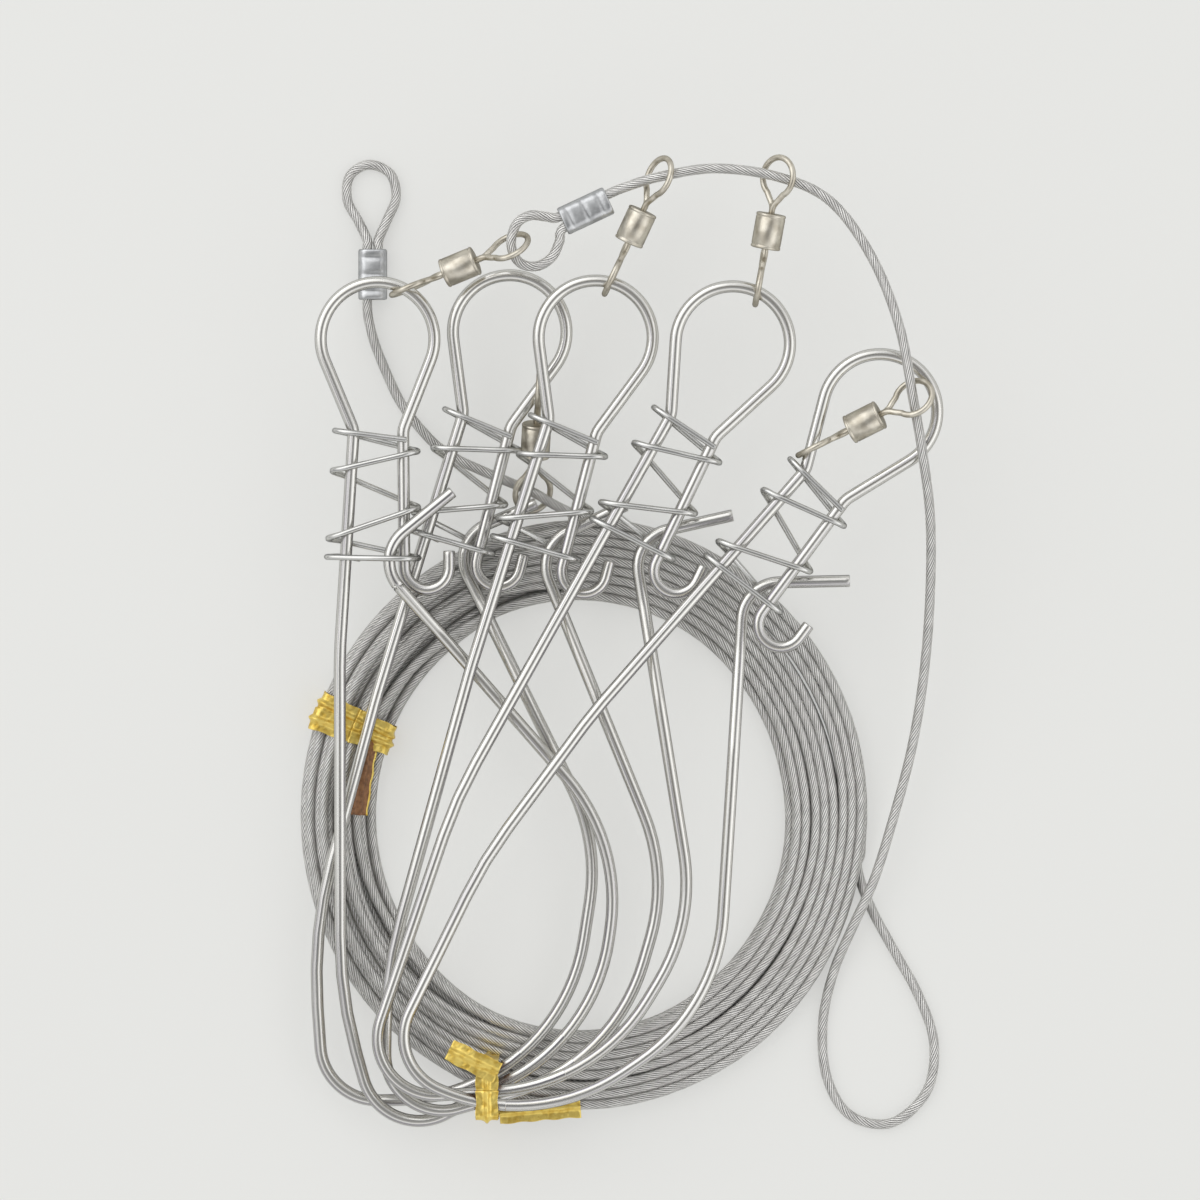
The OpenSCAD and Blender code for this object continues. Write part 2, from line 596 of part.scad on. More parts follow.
union() {
  echo(cable_length = length_of(coil_path) + length_of(left_path) + length_of(right_path));
  echo(coil_least_gap = least_gap(halved(coil_path), cable_d, coil_steps));
  for (i = [0:4]) echo(spring = i + 1, spring_least_gap = least_gap(halved(halved(spring_path(i))), spring_d, 12));
}
cable_coil();
cable_left_run();
cable_right_run();
ferrule_left();
ferrule_right();
coil_tie_foil();
coil_tie_core();
pile_tie_foil();
pile_tie_core();
hook_frame(0);  // hook_1_frame
hook_gate(0);  // hook_1_gate
lock_spring(0);  // hook_1_lock_spring
swivel_cable_eye(0);  // swivel_1_cable_eye
swivel_barrel(0);  // swivel_1_barrel
swivel_hook_eye(0);  // swivel_1_hook_eye
hook_frame(1);  // hook_2_frame
hook_gate(1);  // hook_2_gate
lock_spring(1);  // hook_2_lock_spring
swivel_cable_eye(1);  // swivel_2_cable_eye
swivel_barrel(1);  // swivel_2_barrel
swivel_hook_eye(1);  // swivel_2_hook_eye
hook_frame(2);  // hook_3_frame
hook_gate(2);  // hook_3_gate
lock_spring(2);  // hook_3_lock_spring
swivel_cable_eye(2);  // swivel_3_cable_eye
swivel_barrel(2);  // swivel_3_barrel
swivel_hook_eye(2);  // swivel_3_hook_eye
hook_frame(3);  // hook_4_frame
hook_gate(3);  // hook_4_gate
lock_spring(3);  // hook_4_lock_spring
swivel_cable_eye(3);  // swivel_4_cable_eye
swivel_barrel(3);  // swivel_4_barrel
swivel_hook_eye(3);  // swivel_4_hook_eye
hook_frame(4);  // hook_5_frame
hook_gate(4);  // hook_5_gate
lock_spring(4);  // hook_5_lock_spring
swivel_cable_eye(4);  // swivel_5_cable_eye
swivel_barrel(4);  // swivel_5_barrel
swivel_hook_eye(4);  // swivel_5_hook_eye
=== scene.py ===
"""Fish stringer: a coiled, clear coated steel cable with snap hooks on barrel swivels.

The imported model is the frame. Every piece here follows the same formulas as the model's
source, in millimetres, and is made finer: the cable has its twisted strands, the hooks are
smooth drawn wire, the ties are crinkled foil. X runs to the right, Y up the necks of the
hooks and Z out of the pile.
"""

from __future__ import annotations

import logging
import math
from dataclasses import dataclass, field
from enum import Enum

import bpy
import mathutils
import numpy as np
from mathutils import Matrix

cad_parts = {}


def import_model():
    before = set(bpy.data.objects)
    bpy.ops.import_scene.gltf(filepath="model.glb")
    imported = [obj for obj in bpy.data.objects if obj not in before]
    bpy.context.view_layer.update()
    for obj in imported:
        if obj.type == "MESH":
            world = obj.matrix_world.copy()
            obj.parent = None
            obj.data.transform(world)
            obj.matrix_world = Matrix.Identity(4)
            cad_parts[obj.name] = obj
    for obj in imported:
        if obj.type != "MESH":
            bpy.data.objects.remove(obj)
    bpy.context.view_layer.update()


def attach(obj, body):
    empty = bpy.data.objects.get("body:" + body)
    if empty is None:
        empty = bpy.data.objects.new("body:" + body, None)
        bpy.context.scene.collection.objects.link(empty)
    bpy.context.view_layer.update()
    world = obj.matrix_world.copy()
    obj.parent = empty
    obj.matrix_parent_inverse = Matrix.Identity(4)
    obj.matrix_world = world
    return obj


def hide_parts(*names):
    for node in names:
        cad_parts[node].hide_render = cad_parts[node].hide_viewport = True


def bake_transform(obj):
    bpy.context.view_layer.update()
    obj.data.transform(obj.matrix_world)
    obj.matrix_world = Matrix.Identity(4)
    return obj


LOG = logging.getLogger("fish_stringer")
MM = 0.001
UP = np.array([0.0, 0.0, 1.0])

Points = np.ndarray
Piece = bpy.types.Object
Material = bpy.types.Material
Socket = bpy.types.NodeSocket


class GateSide(Enum):
    """The side of the long legs on which a hook's gate passes."""

    ABOVE = 1
    BELOW = -1


class StripFace(Enum):
    """Which face of a foil strip's free end lies up."""

    FOIL = 1
    BACKING = -1


# Lines.


def unit(v: Points) -> Points:
    """Returns v at length one."""
    return v / np.linalg.norm(v)


def square_to(v: Points, way: Points) -> Points:
    """Returns the unit vector of v's part that is square to way."""
    return unit(v - np.dot(v, way) * way)


def turn_about_z(p: Points, degrees: float) -> Points:
    """Turns points about the vertical axis.

    Args:
        p: Points, one per row.
        degrees: Angle, anticlockwise from above.

    Returns:
        The turned points.
    """
    a = math.radians(degrees)
    c, s = math.cos(a), math.sin(a)
    return np.asarray(p, float) @ np.array([[c, s, 0], [-s, c, 0], [0, 0, 1]])


def eased(share: Points) -> Points:
    """Returns a share, kept from 0 to 1, with a soft start and end."""
    share = np.clip(share, 0, 1)
    return share * share * (3 - 2 * share)


def angle_off(degrees: Points, place: float) -> Points:
    """Returns how far angles lie from a place round a circle, at most 180 degrees."""
    return np.abs((degrees - place + 180) % 360 - 180)


def lengths_along(path: Points) -> Points:
    """Returns the distance of each point of a path from its start, along the path."""
    return np.concatenate([[0.0], np.cumsum(np.linalg.norm(np.diff(path, axis=0), axis=1))])


def evenly(path: Points, step: float) -> Points:
    """Resamples a path at an even step.

    Args:
        path: Points, one per row.
        step: Wanted distance between points.

    Returns:
        The path with its own ends and evenly spaced points.
    """
    s = lengths_along(path)
    at = np.linspace(0, s[-1], max(2, int(round(s[-1] / step)) + 1))
    return np.stack([np.interp(at, s, path[:, k]) for k in range(3)], axis=1)


def smooth(route: tuple | Points, steps: int) -> Points:
    """Draws a smooth curve through the points of a route.

    Args:
        route: Points of the route.
        steps: Pieces that each stretch between two points is cut into.

    Returns:
        The points of the curve.
    """
    p = np.asarray(route, float)
    p = np.concatenate([p[:1], p, p[-1:]])
    t = (np.arange(steps) / steps)[:, None]
    stretches = [
        0.5 * (2 * b + (c - a) * t + (2 * a - 5 * b + 4 * c - d) * t**2 + (3 * b - a - 3 * c + d) * t**3)
        for a, b, c, d in zip(p, p[1:], p[2:], p[3:])
    ]
    return np.concatenate([*stretches, p[-1:]])


def rounded(corners: Points, radii: list[float], arc_step: float = 4.0) -> tuple[Points, list[int]]:
    """Rounds the corners of a bent wire.

    Args:
        corners: The corner points, ends included.
        radii: Bend radius at each corner.
        arc_step: Degrees between the points of a bend.

    Returns:
        The line's points, and for each corner the index of its bend's first point.
    """
    out, starts = [corners[0]], [0]
    for i in range(1, len(corners) - 1):
        before, after = unit(corners[i] - corners[i - 1]), unit(corners[i + 1] - corners[i])
        angle = math.acos(float(np.clip(np.dot(before, after), -1, 1)))
        starts.append(len(out))
        if angle < 1e-4 or radii[i] == 0:
            out.append(corners[i])
            continue
        reach, inward = radii[i] * math.tan(angle / 2), square_to(after, before)
        for a in np.linspace(0, angle, max(2, int(math.degrees(angle) / arc_step) + 1)):
            turned = inward * (1 - math.cos(a)) + before * math.sin(a)
            out.append(corners[i] - before * reach + radii[i] * turned)
    out.append(corners[-1])
    starts.append(len(out) - 1)
    return np.array(out), starts


def tangents(path: Points) -> Points:
    """Returns the unit direction of a path at each of its points."""
    ways = np.gradient(path, axis=0)
    return ways / np.linalg.norm(ways, axis=1)[:, None]


def frames_along(path: Points, up: Points) -> tuple[Points, Points]:
    """Carries an upward direction along a path without a twist.

    Args:
        path: Points, one per row.
        up: Direction that the first point's upward side follows.

    Returns:
        The sideways and the upward unit vectors at each point.
    """
    ways = tangents(path)
    ups = np.empty_like(path)
    ups[0] = square_to(np.asarray(up, float), ways[0])
    for i in range(1, len(path)):
        ups[i] = square_to(ups[i - 1], ways[i])
    return np.cross(ways, ups), ups


# Meshes.


def make_object(name: str, points: Points, faces: list, uv: list | None, finish: Material) -> Piece:
    """Makes a smooth shaded mesh object.

    Args:
        name: Name of the object.
        points: Vertices in millimetres.
        faces: Vertex indices of each face.
        uv: Texture place of each face corner, in face order, or None.
        finish: Material of the whole mesh.

    Returns:
        The new object, linked to the scene.
    """
    mesh = bpy.data.meshes.new(name)
    mesh.from_pydata((np.asarray(points) * MM).tolist(), [], faces)
    if uv is not None:
        layer = mesh.uv_layers.new(name="along_wire")
        layer.data.foreach_set("uv", np.asarray(uv, np.float32).ravel())
    mesh.materials.append(finish)
    mesh.polygons.foreach_set("use_smooth", [True] * len(mesh.polygons))
    mesh.update()
    made = bpy.data.objects.new(name, mesh)
    bpy.context.scene.collection.objects.link(made)
    return made


def loft(sections: Points, along: Points) -> tuple[Points, list, list]:
    """Joins rings of points into one closed solid.

    Args:
        sections: Rings by points by coordinates.
        along: Distance of each ring along the solid, for the texture places.

    Returns:
        Vertices, faces and the texture place of each face corner.
    """
    rings, sides = sections.shape[:2]
    i, k = (grid.ravel() for grid in np.meshgrid(np.arange(rings - 1), np.arange(sides), indexing="ij"))
    m = (k + 1) % sides
    quads = np.stack([i * sides + k, i * sides + m, (i + 1) * sides + m, (i + 1) * sides + k], axis=1)
    u0, u1, v0, v1 = k / sides, (k + 1) / sides, along[i], along[i + 1]
    faces = quads.tolist()
    uv = np.stack([u0, v0, u1, v0, u1, v1, u0, v1], axis=1).reshape(-1, 2).tolist()
    for ring, turn in ((0, -1), (rings - 1, 1)):
        faces.append([ring * sides + q for q in range(sides)][::turn])
        uv += [[0.5, float(along[ring])]] * sides
    return sections.reshape(-1, 3), faces, uv


def ring_round(path: Points, radius: Points | float, angles: Points, up: Points) -> Points:
    """Returns a ring of points round each point of a path.

    Args:
        path: Centre line, one point per row.
        radius: Distance from the line: one, or an array that spreads over rings by points.
        angles: Places round the line in radians, likewise.
        up: Direction that the frame of the first point follows.

    Returns:
        Rings by points by coordinates.
    """
    side, ups = frames_along(path, up)
    x, y = radius * np.cos(angles), radius * np.sin(angles)
    return path[:, None] + x[..., None] * side[:, None] + y[..., None] * ups[:, None]


def tube_sections(path: Points, radius: Points | float, sides: int, up: Points = UP) -> Points:
    """Returns the rings of a round tube along a path."""
    angles = 2 * math.pi * (np.arange(sides) + 0.5) / sides - math.pi / 2
    return ring_round(path, np.broadcast_to(radius, (len(path),))[:, None], angles[None], up)


def tube(name: str, path: Points, radius: Points | float, sides: int, finish: Material) -> Piece:
    """Makes a round tube along a path.

    Args:
        name: Name of the object.
        path: Centre line in millimetres.
        radius: One radius, or one for each point.
        sides: Points round the tube.
        finish: Material.

    Returns:
        The new object.
    """
    return make_object(name, *loft(tube_sections(path, radius, sides), lengths_along(path)), finish)


def eased_ends(path: Points, radius: float, round_off: float) -> tuple[Points, Points]:
    """Adds rounded ends to a wire, by points close to each end with smaller radii.

    Args:
        path: Centre line of the wire.
        radius: Radius of the wire.
        round_off: Radius of the rounding at the cut edge.

    Returns:
        The path with the added points, and the radius at each point.
    """
    first, last = unit(path[1] - path[0]), unit(path[-1] - path[-2])
    share = np.array([0.0, 0.3, 1.0])
    drop = round_off * (1 - np.sqrt(1 - (1 - share) ** 2))
    start = path[0] + first * (share * round_off)[:, None]
    end = path[-1] - last * (share[::-1] * round_off)[:, None]
    line = np.concatenate([start, path[1:-1], end])
    radii = np.concatenate([radius - drop, np.full(len(path) - 2, radius), (radius - drop)[::-1]])
    return line, radii


def place(points: Points, origin: Points, x: Points, z: Points) -> Points:
    """Moves points from a piece's own axes to the model's, by its x and z directions.

    Args:
        points: Points in the piece's own axes.
        origin: Where the piece's own origin lies in the model.
        x: Direction of its x axis, more or less.
        z: Direction of its z axis.

    Returns:
        The points in the model.
    """
    w = unit(z)
    u = square_to(x, w)
    return np.asarray(points) @ np.stack([u, np.cross(w, u), w]) + origin


def join(pieces: list[Piece], name: str) -> Piece:
    """Joins objects into the first one and names it.

    Args:
        pieces: Objects to join.
        name: Name of the joined object.

    Returns:
        The first piece, which now holds them all.
    """
    for other in bpy.context.selected_objects:
        other.select_set(False)
    for piece in pieces:
        piece.select_set(True)
    bpy.context.view_layer.objects.active = pieces[0]
    bpy.ops.object.join()
    pieces[0].name = pieces[0].data.name = name
    return pieces[0]


def settle(piece: Piece, body: str, slot: str, *nodes: str) -> Piece:
    """Puts a piece on its body and hides the nodes that it stands for.

    Args:
        piece: The dressed piece.
        body: Body that it rides on.
        slot: Name of its finish; not used.
        nodes: Nodes that it stands for.

    Returns:
        The same piece.
    """
    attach(piece, body)
    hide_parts(*nodes)
    return piece


# Finishes.


def fill_ramp(ramp: bpy.types.ColorRamp, stops: list[tuple[float, tuple]]) -> None:
    """Gives a colour ramp its stops, each a place and a colour.

    Args:
        ramp: Ramp with its two first stops.
        stops: Place and colour of each stop, in order.
    """
    elements = ramp.elements
    elements[0].position, elements[0].color = stops[0][0], (*stops[0][1], 1)
    elements[1].position, elements[1].color = stops[-1][0], (*stops[-1][1], 1)
    for position, colour in stops[1:-1]:
        elements.new(position).color = (*colour, 1)


class Nodes:
    """A material's node tree with short calls for the nodes that the finishes share."""

    def __init__(self, name: str) -> None:
        """Makes an empty material with one principled shader.

        Args:
            name: Name of the material.
        """
        self.material = bpy.data.materials.new(name)
        self.material.use_nodes = True
        self.tree = self.material.node_tree
        self.shader = self.tree.nodes["Principled BSDF"]
        self.places = self.add("ShaderNodeTexCoord")

    def add(self, kind: str) -> bpy.types.Node:
        """Returns a new node."""
        return self.tree.nodes.new(kind)

    def put(self, value: Socket | float | tuple, target: Socket) -> None:
        """Links a socket to the target, or sets the target to a plain value.

        Args:
            value: Socket to link, or plain value.
            target: Socket that takes it.
        """
        if isinstance(value, Socket):
            self.tree.links.new(value, target)
        else:
            target.default_value = value

    def set(self, **values: Socket | float | tuple) -> Material:
        """Feeds the shader's sockets, an underscore being a blank, and returns the material.

        Args:
            values: Value of each socket, by its name.

        Returns:
            The finished material.
        """
        for socket, value in values.items():
            self.put(value, self.shader.inputs[socket.replace("_", " ")])
        return self.material

    def scaled(self, scale: tuple[float, float, float]) -> Socket:
        """Returns the texture places along and round a wire, stretched by scale.

        Args:
            scale: Stretch round, along and out of the wire.

        Returns:
            The stretched places.
        """
        node = self.add("ShaderNodeMapping")
        node.inputs["Scale"].default_value = scale
        self.put(self.places.outputs["UV"], node.inputs["Vector"])
        return node.outputs["Vector"]

    def noise(self, scale: float, detail: float, vector: Socket | None = None) -> Socket:
        """Returns a noise value, by default over the object's own places.

        Args:
            scale: How fine the noise is.
            detail: How many finer noises lie on it.
            vector: Places, or none for the object's own.

        Returns:
            The noise from 0 to 1.
        """
        node = self.add("ShaderNodeTexNoise")
        self.put(scale, node.inputs["Scale"])
        self.put(detail, node.inputs["Detail"])
        self.put(self.places.outputs["Object"] if vector is None else vector, node.inputs["Vector"])
        return node.outputs["Fac"]

    def ramp(self, value: Socket, stops: list[tuple[float, tuple]]) -> Socket:
        """Returns a colour ramp of the value.

        Args:
            value: Where on the ramp.
            stops: Place and colour of each stop, in order.

        Returns:
            The colour.
        """
        node = self.add("ShaderNodeValToRGB")
        fill_ramp(node.color_ramp, stops)
        self.put(value, node.inputs["Fac"])
        return node.outputs["Color"]

    def math(self, operation: str, *terms: Socket | float) -> Socket:
        """Returns one sum of up to three values.

        Args:
            operation: What is done with the terms.
            terms: Sockets or plain numbers.

        Returns:
            The result.
        """
        node = self.add("ShaderNodeMath")
        node.operation = operation
        for term, target in zip(terms, node.inputs):
            self.put(term, target)
        return node.outputs["Value"]

    def bump(self, height: Socket, strength: float, distance: float) -> Socket:
        """Returns a bumped normal.

        Args:
            height: Relief.
            strength: Share of the relief that counts.
            distance: Height of the relief in metres.

        Returns:
            The normal.
        """
        node = self.add("ShaderNodeBump")
        for value, target in ((strength, "Strength"), (distance, "Distance"), (height, "Height")):
            self.put(value, node.inputs[target])
        return node.outputs["Normal"]


@dataclass(frozen=True)
class DrawnWire:
    """Bright wire with fine lines that the drawing die left along it; some lines carry a dark tint and some a
    tan one, and these tints are painted reflections.
    """

    name: str
    colour: tuple[float, float, float] = (0.76, 0.752, 0.72)
    # Tints of the painted reflections on the die's lines: a dark one and a tan one.
    die_line_and_dark_reflection: tuple[float, float, float] = (0.37, 0.355, 0.385)
    die_line_and_warm_reflection: tuple[float, float, float] = (0.62, 0.57, 0.48)
    roughness: float = 0.24
    roughness_swing: float = 0.16
    lines: float = 11.0
    line_break: float = 0.012
    fine_lines: float = 3.2
    fine_break: float = 0.03
    edge: float = 0.25
    depth: float = 0.000010

    def material(self) -> Material:
        """Returns the material; its lines follow the wire by the texture's v.

        Returns:
            The material.
        """
        nodes = Nodes(self.name)
        broad = nodes.noise(1.0, 3.0, nodes.scaled((self.lines, self.line_break, 1.0)))
        fine = nodes.noise(1.0, 3.0, nodes.scaled((self.lines * self.fine_lines, self.fine_break, 1.0)))
        streaks = nodes.math("MULTIPLY", nodes.math("ADD", broad, nodes.math("MULTIPLY", fine, 0.5)), 0.667)
        # The ramp paints reflections along the wire: dark bands at the low end, tan bands at the high end,
        # the plain colour between.
        stops = [(0.38, self.die_line_and_dark_reflection), (0.49, self.colour), (0.56, self.colour), (0.66, self.die_line_and_warm_reflection)]
        swing = self.roughness_swing
        return nodes.set(
            Base_Color=nodes.ramp(streaks, stops), Metallic=1.0,
            Specular_Tint=(self.edge, self.edge, self.edge, 1.0),
            Roughness=nodes.math("MULTIPLY_ADD", fine, swing, self.roughness - swing / 2),
            Normal=nodes.bump(fine, 0.5, self.depth))


@dataclass(frozen=True)
class CoatedRope:
    """Zinc grey wire rope under a thin clear coating, with painted shade in the grooves between its strands
    and a painted highlight on their crowns.
    """

    name: str = "coated_cable"
    # The first colour is a painted highlight on the strands' crowns, the second their middle tone, the third
    # painted shade, nearly black, in the grooves between them.
    light: tuple[float, float, float] = (0.97, 0.96, 0.93)
    dark: tuple[float, float, float] = (0.46, 0.45, 0.435)
    groove_shade: tuple[float, float, float] = (0.045, 0.045, 0.043)
    strands: int = 12
    wires_seen: int = 2
    wire_slope: float = 0.22
    depth: float = 0.00008

    def material(self) -> Material:
        """Returns the material; the texture's u goes round with the strands, v is in millimetres.

        Returns:
            The material.
        """
        nodes = Nodes(self.name)
        split = nodes.add("ShaderNodeSeparateXYZ")
        nodes.put(nodes.places.outputs["UV"], split.inputs["Vector"])
        round_it, along = split.outputs["X"], split.outputs["Y"]
        # strand is 0 in the grooves between the strands and 1 on their crowns; through the colour ramp it
        # paints shade into the grooves and a highlight on the crowns.
        turning = nodes.math("MULTIPLY", round_it, math.pi * self.strands)
        strand = nodes.math("ABSOLUTE", nodes.math("COSINE", turning))
        wires = nodes.math("MULTIPLY", round_it, 2 * math.pi * self.strands * self.wires_seen)
        # fine swings the tone across the wires of each strand: painted light on their crowns and painted
        # shade between them.
        fine = nodes.math("SINE", nodes.math("MULTIPLY_ADD", along, 2 * math.pi * self.wire_slope, wires))
        cloud = nodes.noise(1.0, 5.0, nodes.scaled((14.0, 0.5, 1.0)))
        clouded = nodes.math("MULTIPLY", nodes.math("ADD", strand, cloud), 0.55)
        mixed = nodes.math("MULTIPLY_ADD", fine, 0.10, clouded)
        return nodes.set(
            Base_Color=nodes.ramp(mixed, [(0.26, self.groove_shade), (0.46, self.dark), (0.82, self.light)]),
            Normal=nodes.bump(nodes.math("MULTIPLY_ADD", fine, 0.22, strand), 0.8, self.depth),
            Metallic=0.6, Roughness=0.36, Coat_Weight=0.35, Coat_Roughness=0.15)


@dataclass(frozen=True)
class PlatedMetal:
    """Nickel plating or soft aluminium, slightly worn and cloudy."""

    name: str
    colour: tuple[float, float, float]
    worn: tuple[float, float, float]
    roughness: float
    roughness_swing: float = 0.2
    cloud_scale: float = 620.0
    grit_scale: float = 2600.0
    edge: float = 0.35
    depth: float = 0.00001

    def material(self) -> Material:
        """Returns the material.

        Returns:
            The material.
        """
        nodes = Nodes(self.name)
        grit, cloud = nodes.noise(self.grit_scale, 3.0), nodes.noise(self.cloud_scale, 5.0)
        swing = self.roughness_swing
        return nodes.set(
            Base_Color=nodes.ramp(cloud, [(0.38, self.worn), (0.60, self.colour)]),
            Roughness=nodes.math("MULTIPLY_ADD", grit, swing, self.roughness - swing / 2),
            Normal=nodes.bump(grit, 0.4, self.depth), Metallic=1.0,
            Specular_Tint=(self.edge, self.edge, self.edge, 1.0))


@dataclass(frozen=True)
class CreasedSheet:
    """One face of the tie's strip: creased foil, or its printed backing, with painted shade in the hollows of
    its creases.
    """

    name: str
    colour: tuple[float, float, float]
    deep: tuple[float, float, float]
    crease_shade_to: float
    colour_from: float
    crease_scale: float
    depth: float
    relief: float
    metallic: float
    roughness: float

    def material(self) -> Material:
        """Returns the material.

        Returns:
            The material.
        """
        nodes = Nodes(self.name)
        # The same crease noise bumps the sheet and colours it: its hollows take the deep colour, painted
        # shade in the creases.
        crease = nodes.noise(self.crease_scale, 6.0)
        return nodes.set(
            Base_Color=nodes.ramp(crease, [(self.crease_shade_to, self.deep), (self.colour_from, self.colour)]),
            Normal=nodes.bump(crease, self.relief, self.depth),
            Metallic=self.metallic, Roughness=self.roughness)


@dataclass
class Finishes:
    """Every material of the object, made once."""

    cable: Material = field(default_factory=CoatedRope().material)
    hook: Material = field(default_factory=DrawnWire("hook_wire").material)
    # The spring and the tie's core wear the same painted reflection streaks as the hooks.
    spring: Material = field(default_factory=DrawnWire(
        "spring_wire", (0.68, 0.68, 0.66), (0.46, 0.46, 0.47), lines=6.0).material)
    swivel: Material = field(default_factory=PlatedMetal(
        "swivel_metal", (0.70, 0.66, 0.57), (0.52, 0.48, 0.40), 0.34).material)
    ferrule: Material = field(default_factory=PlatedMetal(
        "ferrule_metal", (0.66, 0.67, 0.68), (0.50, 0.51, 0.52), 0.36).material)
    # Each sheet's second colour is painted shade in the hollows of its creases.
    foil: Material = field(default_factory=CreasedSheet(
        "tie_foil", (0.94, 0.72, 0.19), (0.72, 0.48, 0.08), crease_shade_to=0.34, colour_from=0.56,
        crease_scale=900.0, depth=0.00022, relief=0.7, metallic=0.8, roughness=0.32).material)
    backing: Material = field(default_factory=CreasedSheet(
        "tie_backing", (0.33, 0.16, 0.07), (0.17, 0.08, 0.035), crease_shade_to=0.35, colour_from=0.6,
        crease_scale=1500.0, depth=0.0001, relief=0.5, metallic=0.2, roughness=0.5).material)
    core: Material = field(default_factory=DrawnWire(
        "tie_wire", (0.50, 0.50, 0.50), (0.30, 0.30, 0.30), roughness=0.4).material)


# The pile.


@dataclass(frozen=True)
class Pile:
    """How the hooks lie: the shared sizes, the tilt of the pile and its place."""

    shift: tuple[float, float, float] = (-3.51, 7.04, 0.0)
    coil_centre: tuple[float, float] = (-3.2, -34.4)
    coil_r: float = 45.1
    coil_oval: float = 1.046
    cable_d: float = 1.6
    coil_gap: float = 0.44
    wire_d: float = 1.9
    spring_d: float = 0.9
    latch_gap: float = 0.2
    rest_gap: float = 0.2
    stack_gap: float = 0.35
    head_y: float = 2.5
    foot_y: float = -80.0

    @property
    def floor_cut(self) -> float:
        """Depth of the flat that the cable's lowest side has."""
        return self.cable_d / 10

    @property
    def z_low(self) -> float:
        """Height of the coil's lower layer."""
        return self.cable_d / 2 - self.floor_cut

    @property
    def coil_top(self) -> float:
        """Height of the coil's upper side."""
        return self.z_low + self.cable_d + self.coil_gap + self.cable_d / 2

    @property
    def gate_dip(self) -> float:
        """How far a gate's tip lies off the plane of the legs."""
        return self.wire_d + self.latch_gap

    @property
    def spring_deep(self) -> float:
        """Height of a spring's strand that goes round the gate's tip as well."""
        return self.gate_dip + self.wire_d / 2 + self.spring_d / 2 + self.latch_gap

    @property
    def z(self) -> float:
        """Height of the lowest hook's plane at the necks."""
        return self.coil_top + self.rest_gap + self.spring_deep + self.spring_d / 2

    @property
    def tilt(self) -> float:
        """Slope of the pile, in degrees."""
        foot_z = self.coil_top + self.rest_gap + self.wire_d / 2
        return math.degrees(math.atan((self.z - foot_z) / (self.head_y - self.foot_y)))

    @property
    def pitch(self) -> float:
        """Height from one hook's plane to the next."""
        return self.wire_d + self.stack_gap

    def on_coil(self, p: Points) -> Points:
        """Tilts points of the pile's planes onto the coil.

        Args:
            p: Points in the planes of the hooks.

        Returns:
            The points on the tilted pile.
        """
        a, p = math.radians(self.tilt), np.atleast_2d(np.asarray(p, float))
        y = p[:, 1] - self.head_y
        return np.stack([p[:, 0], self.head_y + y * math.cos(a) - p[:, 2] * math.sin(a),
                         self.z + y * math.sin(a) + p[:, 2] * math.cos(a)], axis=1)

    def laid(self, p: Points) -> Points:
        """Moves points from the layout of the photographed pile to the model's origin."""
        return np.asarray(p, float) + np.array(self.shift)


# The cable.


@dataclass(frozen=True)
class FreeRun:
    """One end of the cable: its way from the coil, the ferrule that it runs through, and its loop."""

    name: str
    lead: float
    route: tuple
    ferrule: tuple[float, float, float]
    turn: float
    side: float
    loop: tuple


